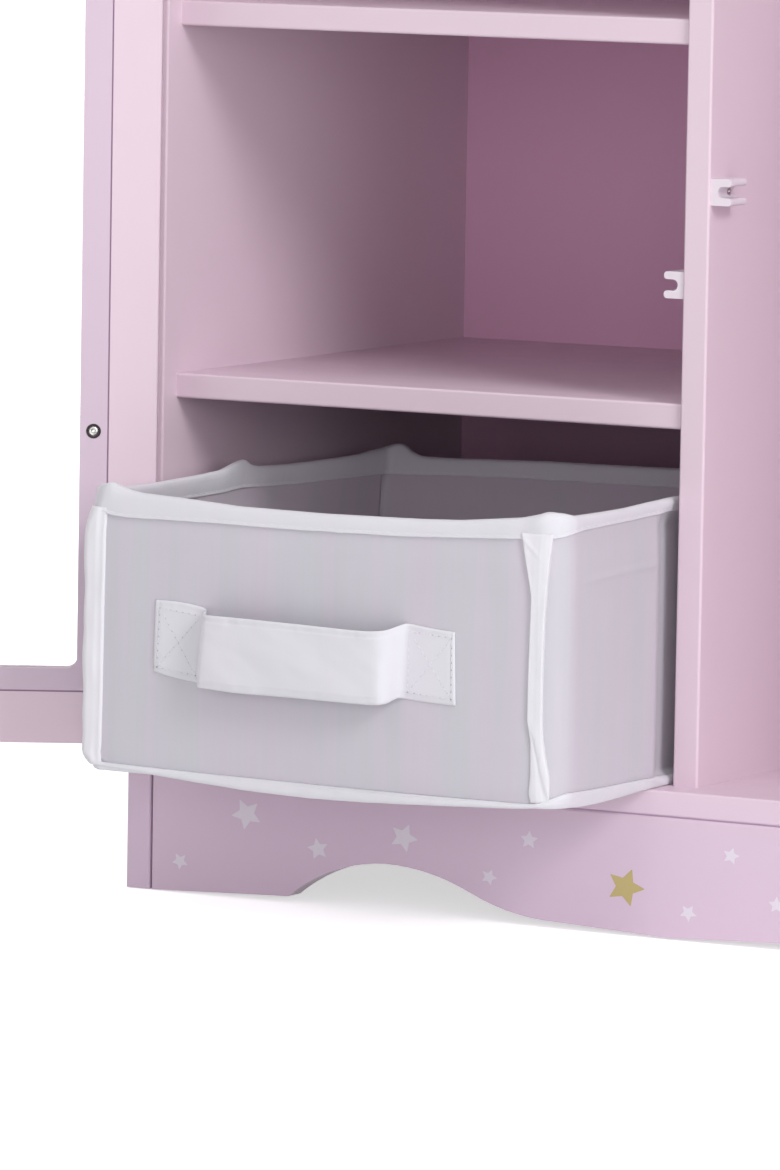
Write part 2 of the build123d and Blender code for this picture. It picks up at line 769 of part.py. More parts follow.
def bin_handle():
    """A strap across the front wall, sewn down at both ends and bowed out between."""
    xs, ys, zs = bin_planes()
    half = handle_span / 2
    inside = handle_bow - handle_thickness
    end = half + handle_patch
    right = [(half - handle_turn, handle_bow), (half, handle_thickness), (end, handle_thickness),
             (end, 0), (half - handle_thickness, 0), (half - handle_turn, inside)]
    left = [(-x, out) for x, out in reversed(right)]
    middle_x = (xs[0] + xs[1]) / 2 - handle_offset
    low = zs[0] + handle_middle - handle_height / 2
    plan = Plane(origin=(middle_x, ys[0], low), x_dir=(-1, 0, 0), z_dir=(0, 0, 1))
    return extrude(plan * make_face(Polyline(*right, *left, close=True)), amount=handle_height)


def carcase_pieces():
    lower, upper = shelf_tops
    rail_and_support = dowels(("rail", "support"))
    return {
        "left_side_panel": side_panel(-1),
        "right_side_panel": side_panel(1),
        "centre_divider": centre_divider(),
        "bottom_panel": bottom_panel(),
        "top_panel": top_panel(),
        "back_panel": back_panel(),
        "lower_shelf": shelf(lower),
        "upper_shelf": shelf(upper),
        "front_skirt": front_skirt(),
        "rear_rail": rear_rail(),
        "centre_support": centre_support(),
        "shelf_dowels": group(dowels(("shelf",))),
        "top_dowels": group(dowels(("top",))),
        "base_dowels": group(rail_and_support),
        "panel_screws": group(screw(*place, *panel_screw_sizes) for place in panel_screw_places()),
        "screw_caps": group(screw_cap(seat) for seat, direction in panel_screw_places()),
        "divider_screws": group(screw(*place, *divider_screw_sizes) for place in divider_screw_places()),
        "back_screws": group(screw(*place, *back_screw_sizes) for place in back_screw_places()),
    }


def screw_cap(seat):
    """A domed cap over a panel screw, on the outer face of the side panel."""
    side = 1 if seat[0] > 0 else -1
    cap = rod_between((side * outer_half, seat[1], seat[2]), (side, 0, 0), cap_radius, cap_thickness)
    return fillet(cap.edges().group_by(Axis.X)[-1 if side > 0 else 0], cap_round)


def bay_pieces():
    """The rod with its sockets, and the catches on the divider."""
    socket_screws = [screw(*place, *socket_screw_sizes) for side in (-1, 1)
                     for place in socket_screw_places(side)]
    return {
        "hanging_rod": hanging_rod(),
        "rod_sockets": group(rod_socket(side) for side in (-1, 1)),
        "rod_socket_screws": group(socket_screws),
        "left_catch_fork": catch_fork(-1),
        "right_catch_fork": catch_fork(1),
        "catch_screws": group(screw(*catch_screw_place(side), *socket_screw_sizes) for side in (-1, 1)),
    }


def fixed_hinge_pieces():
    """Left-hand cabinet leaves, pins and screws."""
    return {
        "hinge_cabinet_leaves": group(hinge_leaf(z, True) for z in hinge_middles()),
        "hinge_pins": group(hinge_pin(z) for z in hinge_middles()),
        "hinge_cabinet_screws": group(hinge_screw_cone(z, 1, True, 0) for z in hinge_screw_rows()),
    }


def bin_pieces():
    pieces = bin_walls()
    pieces["bin_rim_binding"] = bin_rim_binding()
    pieces["bin_bottom_binding"] = bin_bottom_binding()
    pieces["bin_corner_bindings"] = bin_corner_bindings()
    pieces["bin_handle"] = bin_handle()
    return pieces


def all_pieces():
    pieces = carcase_pieces() | bay_pieces() | bin_pieces()
    for side, name in ((-1, "left"), (1, "right")):
        hung = {plain: swing_open(shape) for plain, shape in door_pieces(side).items()}
        for plain, shape in (hung | fixed_hinge_pieces()).items():
            placed = shape if side < 0 else mirror(shape, about=Plane.YZ)
            pieces[name + "_" + plain] = placed
    return pieces


os.makedirs("parts", exist_ok=True)
for node, shape in all_pieces().items():
    export_step(shape, "parts/" + node + ".step")
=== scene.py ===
import json
import math

import bpy
import numpy as np
from mathutils import Matrix, Vector, noise


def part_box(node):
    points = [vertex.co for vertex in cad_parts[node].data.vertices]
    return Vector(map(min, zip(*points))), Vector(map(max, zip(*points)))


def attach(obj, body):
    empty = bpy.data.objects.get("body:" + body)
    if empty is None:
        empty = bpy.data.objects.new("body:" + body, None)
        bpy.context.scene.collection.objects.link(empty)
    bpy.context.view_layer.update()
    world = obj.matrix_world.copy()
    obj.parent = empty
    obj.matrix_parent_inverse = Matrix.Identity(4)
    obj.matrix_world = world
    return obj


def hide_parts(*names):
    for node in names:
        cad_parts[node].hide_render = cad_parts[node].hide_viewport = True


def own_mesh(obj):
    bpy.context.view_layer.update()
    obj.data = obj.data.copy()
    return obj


# Doll closet: painted boards and glazed doors from the frame, and a fabric bin modelled here.
# Lengths are in millimetres in the frame's axes. Those of the camera, the lights, the floor and the
# materials are in metres, unless a name says otherwise.

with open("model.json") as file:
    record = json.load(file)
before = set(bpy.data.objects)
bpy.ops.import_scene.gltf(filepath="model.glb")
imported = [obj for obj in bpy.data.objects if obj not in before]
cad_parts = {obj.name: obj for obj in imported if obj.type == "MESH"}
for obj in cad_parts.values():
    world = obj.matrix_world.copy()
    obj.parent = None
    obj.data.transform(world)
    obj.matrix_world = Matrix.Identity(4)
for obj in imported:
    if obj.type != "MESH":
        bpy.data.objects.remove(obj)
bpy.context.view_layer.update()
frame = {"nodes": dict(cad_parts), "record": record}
nodes = frame["nodes"]
MM = 0.001


def box_mm(node):
    """Lowest and highest corner of a CAD node in millimetres."""
    low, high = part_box(node)
    return low / MM, high / MM


# Camera, at the photograph's place

CAMERA_PLACE = Vector((1.7232, -3.57343, 0.57462))
CAMERA_AZIMUTH = 0.5018
CAMERA_PITCH = 0.1068
CAMERA_ROLL = -0.017
CAMERA_LENS_MM = 253.46
SENSOR_LONG_SIDE_MM = 36.0


def add_camera():
    data = bpy.data.cameras.new("camera")
    data.sensor_fit = "AUTO"
    data.sensor_width = SENSOR_LONG_SIDE_MM
    data.lens = CAMERA_LENS_MM
    data.clip_start = 0.1
    data.clip_end = 100.0
    camera = bpy.data.objects.new("camera", data)
    bpy.context.scene.collection.objects.link(camera)
    ahead = Vector((-math.sin(CAMERA_AZIMUTH) * math.cos(CAMERA_PITCH),
                    math.cos(CAMERA_AZIMUTH) * math.cos(CAMERA_PITCH),
                    -math.sin(CAMERA_PITCH)))
    level = Vector((math.cos(CAMERA_AZIMUTH), math.sin(CAMERA_AZIMUTH), 0))
    upright = level.cross(ahead)
    right = level * math.cos(CAMERA_ROLL) - upright * math.sin(CAMERA_ROLL)
    up = level * math.sin(CAMERA_ROLL) + upright * math.cos(CAMERA_ROLL)
    turn = Matrix((right, up, -ahead)).transposed().to_4x4()
    camera.matrix_world = Matrix.Translation(CAMERA_PLACE) @ turn
    bpy.context.scene.camera = camera


# Lights, floor and background

WHITE = (1.0, 1.0, 1.0, 1.0)
WORLD_STRENGTH = 0.55
FLOOR_HALF = 30.0
FLOOR_DROP = 0.0003
FLOOR_COLOUR = (0.93, 0.93, 0.93, 1.0)
FLOOR_GLOW = 0.6
FLOOR_GLOW_NEAR = 0.6
FLOOR_GLOW_FAR = 1.5
LIGHT_TARGET = Vector((-0.1, -0.1, 0.3))
LIGHT_DISTANCE = 3.6
LIGHT_SIZE = 1.2
LIGHTS = [
    # name, degrees to the right of the front, degrees above level, power in watts
    ("key_light", 62.0, 30.0, 49.0),
    ("side_light", 60.0, 9.0, 15.0),
    ("front_light", 24.0, 8.0, 14.0),
    ("top_light", 20.0, 75.0, 22.0),
]


def add_light(name, right_turn, rise, power):
    data = bpy.data.lights.new(name, "AREA")
    data.shape = "DISK"
    data.size = LIGHT_SIZE
    data.energy = power
    lamp = bpy.data.objects.new(name, data)
    bpy.context.scene.collection.objects.link(lamp)
    turn, height = math.radians(right_turn), math.radians(rise)
    away = Vector((math.sin(turn) * math.cos(height), -math.cos(turn) * math.cos(height),
                   math.sin(height)))
    lamp.location = LIGHT_TARGET + away * LIGHT_DISTANCE
    lamp.rotation_mode = "QUATERNION"
    lamp.rotation_quaternion = (-away).to_track_quat("-Z", "Y")


def seen_directly(tree):
    """One for rays from the camera, in gloss or through glass, and zero for rays that light things."""
    path = tree.nodes.new("ShaderNodeLightPath")
    total = path.outputs["Is Camera Ray"]
    for name in ("Is Glossy Ray", "Is Transmission Ray"):
        either = tree.nodes.new("ShaderNodeMath")
        either.operation = "MAXIMUM"
        tree.links.new(total, either.inputs[0])
        tree.links.new(path.outputs[name], either.inputs[1])
        total = either.outputs[0]
    return total


def add_world():
    """Soft light from all round, and pure white where the camera sees past the floor."""
    world = bpy.data.worlds.new("white_room")
    world.use_nodes = True
    tree = world.node_tree
    mix = tree.nodes.new("ShaderNodeMixShader")
    tree.links.new(seen_directly(tree), mix.inputs["Fac"])
    light, white = tree.nodes["Background"], tree.nodes.new("ShaderNodeBackground")
    for shader, strength, place in ((light, WORLD_STRENGTH, 1), (white, 1.0, 2)):
        shader.inputs["Color"].default_value = WHITE
        shader.inputs["Strength"].default_value = strength
        tree.links.new(shader.outputs[0], mix.inputs[place])
    tree.links.new(mix.outputs[0], tree.nodes["World Output"].inputs["Surface"])
    bpy.context.scene.world = world


def add_floor():
    """A pale floor with a glow that grows to white with distance and lights nothing."""
    mesh = bpy.data.meshes.new("floor")
    corners = [(x * FLOOR_HALF, y * FLOOR_HALF, 0) for x, y in ((-1, -1), (1, -1), (1, 1), (-1, 1))]
    mesh.from_pydata(corners, [], [(0, 1, 2, 3)])
    floor = bpy.data.objects.new("floor", mesh)
    floor.location.z = -FLOOR_DROP
    bpy.context.scene.collection.objects.link(floor)
    look = Look("pale_floor", FLOOR_COLOUR, 0.7)
    distance = look.node("ShaderNodeVectorMath", {0: look.place}, operation="LENGTH").outputs["Value"]
    outward = look.ramp(distance, FLOOR_GLOW_NEAR, FLOOR_GLOW_FAR, FLOOR_GLOW, 1.0, "SMOOTHSTEP")
    look.set("Emission Color", WHITE)
    look.set("Emission Strength", look.math("MULTIPLY", seen_directly(look.tree), outward))
    mesh.materials.append(look.material)


# Materials

def linear(colour):
    """A colour given in a picture's values from 11 to 255, as the shader needs it."""
    return (*(((part / 255 + 0.055) / 1.055) ** 2.4 for part in colour), 1.0)


def scaled(colour, factor):
    """A colour times a factor, no part of it over one."""
    return (*(min(1.0, part * factor) for part in colour[:3]), 1.0)


class Look:
    """A material under construction, with short calls for its nodes."""

    def __init__(self, name, colour, roughness):
        self.material = bpy.data.materials.new(name)
        self.material.use_nodes = True
        self.tree = self.material.node_tree
        self.surface = self.tree.nodes["Principled BSDF"]
        self.set("Base Color", colour)
        self.set("Roughness", roughness)
        self.colour = colour
        self.heights = []
        self.place = self.node("ShaderNodeTexCoord").outputs["Object"]

    def feed(self, socket, value):
        """Links a node's output to a socket, or sets the socket's own value."""
        if isinstance(value, bpy.types.NodeSocket):
            self.tree.links.new(value, socket)
        else:
            socket.default_value = value

    def node(self, kind, inputs=None, **settings):
        made = self.tree.nodes.new(kind)
        for name, value in settings.items():
            setattr(made, name, value)
        for key, value in (inputs or {}).items():
            self.feed(made.inputs[key], value)
        return made

    def set(self, name, value):
        self.feed(self.surface.inputs[name], value)

    def math(self, operation, first, second=0.0):
        return self.node("ShaderNodeMath", {0: first, 1: second}, operation=operation).outputs[0]

    def stretched(self, x, y, z):
        """Object coordinates times a factor along each axis."""
        values = {0: self.place, 1: (x, y, z)}
        return self.node("ShaderNodeVectorMath", values, operation="MULTIPLY").outputs[0]

    def noise(self, scale, detail, vector=None):
        values = {"Vector": vector or self.place, "Scale": scale, "Detail": detail}
        return self.node("ShaderNodeTexNoise", values).outputs["Fac"]

    def ramp(self, value, start, end, low, high, curve="LINEAR"):
        """A value from low to high as another goes from start to end."""
        values = {"Value": value, "From Min": start, "From Max": end, "To Min": low, "To Max": high}
        return self.node("ShaderNodeMapRange", values, interpolation_type=curve).outputs["Result"]

    def between(self, factor, low, high):
        """A value from low to high as the factor goes from 0.3 to 0.7, the usual span of a noise."""
        return self.ramp(factor, 0.3, 0.7, low, high)

    def mix(self, factor, first, second, blend="MIX"):
        values = {"Factor": factor, 6: first, 7: second}
        return self.node("ShaderNodeMix", values, data_type="RGBA", blend_type=blend).outputs[2]

    def tint(self, factor, amount):
        """Varies the colour by plus and minus the amount, as a factor near a half does."""
        darkest, palest = scaled(self.colour, 1 - 2 * amount), scaled(self.colour, 1 + 2 * amount)
        self.tone = self.mix(factor, darkest, palest)
        self.set("Base Color", self.tone)

    def shade(self, factor, low, high):
        """After tint, multiplies the colour by a tone between two as the factor goes from 0.3 to 0.7."""
        shade = self.mix(self.between(factor, 0.0, 1.0), (*low, 1.0), (*high, 1.0))
        self.set("Base Color", self.mix(1.0, self.tone, shade, "MULTIPLY"))

    def raise_by(self, height, depth_mm):
        """Adds a relief whose height, from 0 to 1, is that many millimetres deep."""
        self.heights.append(self.math("MULTIPLY", height, depth_mm))

    def finish(self):
        if self.heights:
            total = self.heights[0]
            for height in self.heights[1:]:
                total = self.math("ADD", total, height)
            bump = self.node("ShaderNodeBump", {"Height": total, "Strength": 1.0, "Distance": MM})
            self.set("Normal", bump.outputs["Normal"])
        return self.material


# Painted light: a lilac tint of the paint near the floor, for how the light falls low down, and the heights
# over which it fades
LOW_PAINTED_LIGHT_TINT = (0.99, 0.985, 1.05)
LOW_PAINTED_LIGHT_HEIGHTS = (0.03, 0.09)


def paint_look(name, colour, roughness):
    """Satin paint on board: a trace of orange peel over long soft waves, and a lilac tint near the floor
    that is painted light.
    """
    look = Look(name, linear(colour), roughness)
    look.tint(look.noise(9.0, 3.0), 0.012)
    height = look.node("ShaderNodeSeparateXYZ", {"Vector": look.place}).outputs["Z"]
    look.shade(look.ramp(height, *LOW_PAINTED_LIGHT_HEIGHTS, 0.0, 1.0), LOW_PAINTED_LIGHT_TINT, (1.0, 1.0, 1.0))
    look.set("Roughness", look.between(look.noise(55.0, 2.0), roughness - 0.04, roughness + 0.05))
    for scale, detail, depth in ((900.0, 2.0, 0.010), (120.0, 2.0, 0.020), (3500.0, 1.0, 0.0015)):
        look.raise_by(look.noise(scale, detail), depth)
    look.set("Specular IOR Level", 0.27)
    return look.finish()


def ink_look(name, colour, metallic, roughness):
    """Printed ink with the fine grain of a transfer."""
    look = Look(name, linear(colour), roughness)
    look.tint(look.noise(2400.0, 3.0), 0.035)
    look.set("Metallic", metallic)
    look.raise_by(look.noise(1600.0, 2.0), 0.008)
    return look.finish()


def weave_height(look, pitch_mm):
    """Plain weave: threads crossed over the wall's length and height, from 0 to 1."""
    turn = 2 * math.pi / (pitch_mm * MM)
    parts = look.node("ShaderNodeSeparateXYZ", {"Vector": look.place}).outputs
    along = look.math("ADD", parts["X"], parts["Y"])
    across, upward = [look.math("SINE", look.math("MULTIPLY", way, turn)) for way in (along, parts["Z"])]
    return look.math("MULTIPLY_ADD", look.math("MULTIPLY", across, upward), 0.5)


def cloth_look(name, colour, pitch_mm, streak, sheen):
    """Woven polyester: thread relief, faint upright slubs, small soft creases and a low sheen."""
    look = Look(name, linear(colour), 0.72)
    slubs = look.noise(1.0, 3.0, look.stretched(620.0, 620.0, 16.0))
    clouds = look.noise(34.0, 2.0)
    both = look.math("ADD", look.math("MULTIPLY", slubs, 0.6), look.math("MULTIPLY", clouds, 0.4))
    look.tint(both, streak)
    broad = look.noise(1.0, 1.0, look.stretched(80.0, 80.0, 5.0))
    look.shade(broad, (1.0 + 1.2 * streak, 1.0 - 1.1 * streak, 1.0 + 0.8 * streak),
               (1.0 - 1.4 * streak, 1.0 - 0.6 * streak, 1.0 - 0.4 * streak))
    look.set("Roughness", look.between(slubs, 0.66, 0.8))
    look.set("Sheen Weight", sheen)
    look.set("Sheen Roughness", 0.4)
    look.raise_by(weave_height(look, pitch_mm), 0.012)
    look.raise_by(slubs, 0.020)
    look.raise_by(look.noise(260.0, 3.0), 0.050)
    return look.finish()


def plastic_look(name, colour):
    look = Look(name, linear(colour), 0.38)
    look.tint(look.noise(60.0, 2.0), 0.015)
    look.raise_by(look.noise(2600.0, 2.0), 0.004)
    return look.finish()


def metal_look(name, colour, roughness):
    """Plated steel with fine turning marks and uneven polish."""
    look = Look(name, linear(colour), roughness)
    look.set("Metallic", 1.0)
    grain = look.noise(1.0, 2.0, look.stretched(2600.0, 2600.0, 5200.0))
    look.tint(grain, 0.05)
    look.set("Roughness", look.between(grain, roughness - 0.07, roughness + 0.1))
    look.raise_by(grain, 0.002)
    return look.finish()


def wood_look(name, colour):
    """Bare turned wood: long grain with darker pores."""
    look = Look(name, linear(colour), 0.62)
    grain = look.noise(1.0, 4.0, look.stretched(900.0, 900.0, 40.0))
    look.tint(grain, 0.10)
    look.raise_by(grain, 0.05)
    return look.finish()


def glass_look(name):
    """Clear acrylic sheet that lets the lamps' light pass."""
    look = Look(name, (0.985, 0.99, 0.995, 1.0), 0.02)
    look.set("Transmission Weight", 1.0)
    look.set("IOR", 1.49)
    look.raise_by(look.noise(12.0, 1.0), 0.004)
    look.finish()
    clear = look.node("ShaderNodeBsdfTransparent", {"Color": (0.97, 0.975, 0.98, 1.0)})
    shadow = look.node("ShaderNodeLightPath").outputs["Is Shadow Ray"]
    values = {"Fac": shadow, 1: look.surface.outputs[0], 2: clear.outputs[0]}
    mix = look.node("ShaderNodeMixShader", values)
    look.feed(look.tree.nodes["Material Output"].inputs["Surface"], mix.outputs[0])
    return look.material


LOOKS = {
    "painted_board": paint_look("satin_paint", (219, 198, 211), 0.42),
    "starred_skirt": paint_look("skirt_paint", (216, 194, 207), 0.42),
    "back_board": paint_look("back_paint", (226, 180, 209), 0.5),
    "bare_wood": wood_look("bare_wood", (196, 168, 126)),
    "clear_pane": glass_look("clear_pane"),
    "steel": metal_look("plated_steel", (204, 203, 200), 0.24),
    "pale_plastic": plastic_look("pale_plastic", (222, 211, 221)),
    "grey_fabric": cloth_look("grey_cloth", (194, 191, 198), 0.55, 0.022, 0.25),
    "white_tape": cloth_look("white_tape", (213, 212, 218), 0.45, 0.010, 0.3),
}
LINING_LOOK = cloth_look("grey_lining", (199, 191, 200), 0.55, 0.02, 0.15)
RIBBON_LOOK = cloth_look("ribbon", (219, 218, 223), 0.45, 0.008, 0.3)
THREAD_LOOK = cloth_look("white_thread", (216, 215, 221), 0.2, 0.02, 0.3)
WHITE_INK_LOOK = ink_look("white_ink", (223, 215, 226), 0.0, 0.42)
GOLD_INK_LOOK = ink_look("gold_ink", (180, 163, 110), 0.35, 0.42)
SHADE_LOOK = cloth_look("needle_shade", (178, 177, 183), 0.2, 0.02, 0.0)
# Near-black cups in the screw holes of the retainers: painted shade of the deep holes.
BORE_SHADE_LOOK = plastic_look("bore_shade", (60, 48, 50))
# The retainers: a slightly darker copy of the board paint.
RETAINER_LOOK = paint_look("retainer_paint", (206, 187, 203), 0.42)
# Darker paint for the strips in the open joints: painted shade.
JOINT_SHADE_LOOK = paint_look("joint_shade_paint", (176, 148, 172), 0.6)


def dress_cad_nodes():
    """Gives every CAD node the look of its slot in the record, and the retainers a slightly darker copy of
    the board paint.
    """
    for part in frame["record"]["subparts"]:
        node = nodes[part["node"]]
        node.data.materials.clear()
        look = RETAINER_LOOK if part["node"].endswith("door_retainer") else LOOKS[part["material_slot"]]
        node.data.materials.append(look)


# Mesh helpers

UP = np.array([0.0, 0.0, 1.0])
FORWARD = np.array([0.0, -1.0, 0.0])


def add_piece(name, points, faces, looks, body="storage_bin", slot="white_tape", smooth=True,
              face_looks=None):
    """A mesh piece from points in millimetres, on the bin's body unless another body is named. The slot is
    not used.
    """
    mesh = bpy.data.meshes.new(name)
    mesh.from_pydata([tuple(float(part) * MM for part in point) for point in points], [], faces)
    for look in looks:
        mesh.materials.append(look)
    if face_looks is not None:
        mesh.polygons.foreach_set("material_index", face_looks)
    mesh.polygons.foreach_set("use_smooth", [smooth] * len(faces))
    mesh.validate()
    mesh.update()
    piece = bpy.data.objects.new(name, mesh)
    bpy.context.scene.collection.objects.link(piece)
    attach(piece, body)
    return piece


def grid_faces(rows, columns, start=0, loop_rows=False, loop_columns=False, flip=False):
    """Quads over a grid of points stored row by row."""
    faces = []
    for row in range(rows if loop_rows else rows - 1):
        here, after = start + row * columns, start + (row + 1) % rows * columns
        for column in range(columns if loop_columns else columns - 1):
            beside = (column + 1) % columns
            quad = [here + column, here + beside, after + beside, after + column]
            faces.append(quad[::-1] if flip else quad)
    return faces


def capped_faces(rings, sides):
    """Faces over rings of points one after another, with a face over each end."""
    last = (rings - 1) * sides
    caps = [list(range(sides))[::-1], list(range(last, last + sides))]
    return grid_faces(rings, sides, loop_columns=True) + caps


def bin_shell(name, outer, inner, looks, slot="white_tape"):
    """A closed skin of the bin from an outer and an inner grid of one size, joined round their edges."""
    rows, columns = outer.shape[:2]
    grid = np.arange(rows * columns).reshape(rows, columns)
    border = np.concatenate([grid[0], grid[1:, -1], grid[-1, -2::-1], grid[-2:0:-1, 0]]).tolist()
    outside = grid_faces(rows, columns)
    inside = grid_faces(rows, columns, start=grid.size, flip=True)
    edge = [[here, here + grid.size, following + grid.size, following]
            for here, following in zip(border, border[1:] + border[:1])]
    points = np.concatenate([outer.reshape(-1, 3), inner.reshape(-1, 3)])
    face_looks = [0] * len(outside) + [min(1, len(looks) - 1)] * len(inside) + [0] * len(edge)
    return add_piece(name, points, outside + inside + edge, looks, slot=slot, face_looks=face_looks)


def smooth_step(value, start, end):
    """Zero up to the start and one from the end on, with an eased rise between."""
    share = np.clip((np.asarray(value, float) - start) / (end - start), 0.0, 1.0)
    return share * share * (3 - 2 * share)


def rise_and_fall(value, rise, fall):
    """A smooth step up over one range of values and down again over another."""
    return smooth_step(value, *rise) * (1 - smooth_step(value, *fall))


def bell(offset, wide):
    """One at no offset, falling off over a width to each side."""
    return np.exp(-(offset / wide) ** 2)


def soft_noise(points, size_mm, seed):
    """Smooth noise from about -1 to 1 over a grid of points in millimetres."""
    flat = points.reshape(-1, 3) / size_mm
    offset = Vector((seed * 7.31, seed * 3.77, seed * 5.13))
    values = [noise.noise(Vector(point) + offset) for point in flat.tolist()]
    return np.array(values).reshape(points.shape[:-1])


def turns(count):
    """Angles evenly spaced round a circle, in a column."""
    return np.linspace(0, 2 * math.pi, count, endpoint=False)[:, None]


def ring(out, sides):
    """Directions square to one, evenly spaced round it."""
    first = np.cross(out, UP)
    first /= np.linalg.norm(first)
    return first * np.cos(turns(sides)) + np.cross(out, first) * np.sin(turns(sides))


def tube(path, radius, sides):
    """Points and faces of a closed round tube along a path, with narrower ends."""
    along = np.gradient(path, axis=0)
    along /= np.linalg.norm(along, axis=1)[:, None]
    guide = UP if abs(along[0][2]) < 0.9 else np.array([1.0, 0.0, 0.0])
    first = np.cross(along, guide)
    first /= np.linalg.norm(first, axis=1)[:, None]
    second = np.cross(along, first)
    around = first[:, None] * np.cos(turns(sides)) + second[:, None] * np.sin(turns(sides))
    sizes = np.full(len(path), radius)
    sizes[0] = sizes[-1] = radius * 0.55
    points = (path[:, None] + around * sizes[:, None, None]).reshape(-1, 3)
    return points, capped_faces(len(path), sides)


def join_parts(parts):
    """Several lists of points and faces as one."""
    points, faces, start = [], [], 0
    for some_points, some_faces in parts:
        points.append(np.asarray(some_points))
        faces += [[index + start for index in face] for face in some_faces]
        start += len(some_points)
    return np.concatenate(points), faces


def node_points(node):
    """The points of a CAD node's mesh in millimetres."""
    return np.array([vertex.co[:] for vertex in nodes[node].data.vertices]) / MM


# Stars printed on the skirt: place from the left side panel's inner face, height, radius and turn

STAR_WIDEN = 1.1
STAR_LIFT = 0.05
# A blunt tip and the inner corner after it: degrees past the tip and shares of the radius
STAR_TIP = ((-1.6, 0.975), (0.0, 1.0), (1.6, 0.975), (36.0, 0.5))
STARS = {
    "white": [
        (17.2, 15.1, 4.1, 50), (53.9, 41.0, 7.6, 46), (93.6, 27.3, 5.3, 31), (140.3, 36.6, 6.9, -4),
        (186.7, 21.5, 3.9, 68), (207.8, 41.0, 4.4, 15), (314.4, 42.1, 4.0, 4), (292.6, 13.4, 4.1, 58),
        (338.5, 21.0, 4.0, 18), (371.0, 44.0, 5.4, 40), (398.5, 33.2, 7.6, 12), (437.5, 40.5, 4.6, 62),
        (478.0, 25.5, 6.2, 33), (523.5, 43.0, 4.4, 6), (544.0, 13.5, 5.0, 47),
    ],
    "gold": [(259.4, 22.8, 9.1, -1), (509.0, 18.0, 8.6, 27)],
}


def star_outline(centre_x, centre_z, radius, turn):
    """Five slightly blunt tips, with inner corners between them."""
    outline = []
    for point in range(5):
        for past, share in STAR_TIP:
            angle = math.radians(turn + 72 * point) + math.radians(past)
            reach = radius * share
            outline.append((centre_x + STAR_WIDEN * reach * math.cos(angle),
                            centre_z + reach * math.sin(angle)))
    return outline


def add_stars():
    front = box_mm("front_skirt")[0].y
    for colour, look in (("white", WHITE_INK_LOOK), ("gold", GOLD_INK_LOOK)):
        parts = []
        for along, height, radius, turn in STARS[colour]:
            outline = star_outline(LEFT_FACE + along, height, radius, turn)
            count = len(outline)
            depths = (front - STAR_LIFT, front + STAR_LIFT)
            points = [(x, y, z) for y in depths for x, z in outline]
            points += [(LEFT_FACE + along, y, height) for y in depths]
            faces = []
            for here in range(count):
                after = (here + 1) % count
                faces.append([2 * count, here, after])
                faces.append([2 * count + 1, count + after, count + here])
                faces.append([here, count + here, count + after, after])
            parts.append((points, faces))
        add_piece(colour + "_stars", *join_parts(parts), [look], "carcase", "starred_skirt", smooth=False)


# The bin's shape

SIDES = ("front", "right", "back", "left")
LEFT_FACE = box_mm("left_side_panel")[1].x
DIVIDER_FRONT = box_mm("centre_divider")[0].y
WALLS = [box_mm("bin_" + side + "_wall") for side in SIDES]
BIN_RIGHT = WALLS[1][1].x
BIN_FRONT = WALLS[0][0].y
BIN_BACK = WALLS[2][1].y
BIN_LOW = box_mm("bin_base_board")[0].z
WALL_THICK = WALLS[0][1].y - WALLS[0][0].y
FOLD_Y = DIVIDER_FRONT + 34.0


def place_x(value):
    """X of a place that lies so far from the left side panel's inner face."""
    return LEFT_FACE + value


def place_y(value):
    """Y of a place that lies so far behind the divider's front."""
    return DIVIDER_FRONT + value


SIDE_STEPS = 112
CORNER_STEPS = 10


def rounded_loop(left, right, front, back, radii):
    """A closed plan line from the front left corner to the right: front, right, back and left sides.
    radii are those of the front left, front right, back right and back left corners."""
    corners = ((left, front, 1, 1), (right, front, -1, 1), (right, back, -1, -1), (left, back, 1, -1))
    centres = [np.array([x + inward_x * radius, y + inward_y * radius])
               for (x, y, inward_x, inward_y), radius in zip(corners, radii)]
    points = []
    for here, after in ((0, 1), (1, 2), (2, 3), (3, 0)):
        angles = np.radians(90 * here - 90 + 90 * np.arange(CORNER_STEPS) / CORNER_STEPS)
        bend = np.stack([np.cos(angles), np.sin(angles)], axis=1)
        start = centres[here] + radii[here] * bend[0]
        end = centres[after] + radii[after] * bend[0]
        points.append(start + (end - start) * np.arange(SIDE_STEPS)[:, None] / SIDE_STEPS)
        points.append(centres[after] + radii[after] * bend)
    return np.concatenate(points)


BODY_LOOP = rounded_loop(place_x(17.7), BIN_RIGHT, BIN_FRONT + 0.4, BIN_BACK, (1.4, 15.0, 4.0, 5.0))
TOP_LOOP = rounded_loop(place_x(20.7), BIN_RIGHT - 1.2, BIN_FRONT + 2.0, BIN_BACK - 3.0,
                        (6.0, 13.0, 5.0, 7.0))
FOOT_LOOP = rounded_loop(place_x(21.8), BIN_RIGHT - 2.0, BIN_FRONT + 1.0, BIN_BACK - 1.0,
                         (4.0, 12.0, 4.0, 5.0))
TOP_FADE = (180.0, 204.0)
FOOT_FADE = (70.0, 82.0)


def closed(values):
    """Loop values with the first one again at the end."""
    return np.concatenate([values, values[:1]])


STEP_LENGTHS = np.linalg.norm(np.diff(closed(BODY_LOOP), axis=0), axis=1)
LOOP_S = np.concatenate([[0.0], np.cumsum(STEP_LENGTHS)])
LOOP_LENGTH = LOOP_S[-1]
SIDE_STARTS = {side: index * (SIDE_STEPS + CORNER_STEPS) for index, side in enumerate(SIDES)}


def along_loop(values, s):
    """Values given at the loop's points, read at distances s round it."""
    return np.interp(np.mod(s, LOOP_LENGTH), LOOP_S, closed(values))


def loop_normals(loop):
    """Directions out of a closed line at each of its points."""
    ahead = np.roll(loop, -1, axis=0) - np.roll(loop, 1, axis=0)
    out = np.stack([ahead[:, 1], -ahead[:, 0]], axis=1)
    return out / np.linalg.norm(out, axis=1)[:, None]


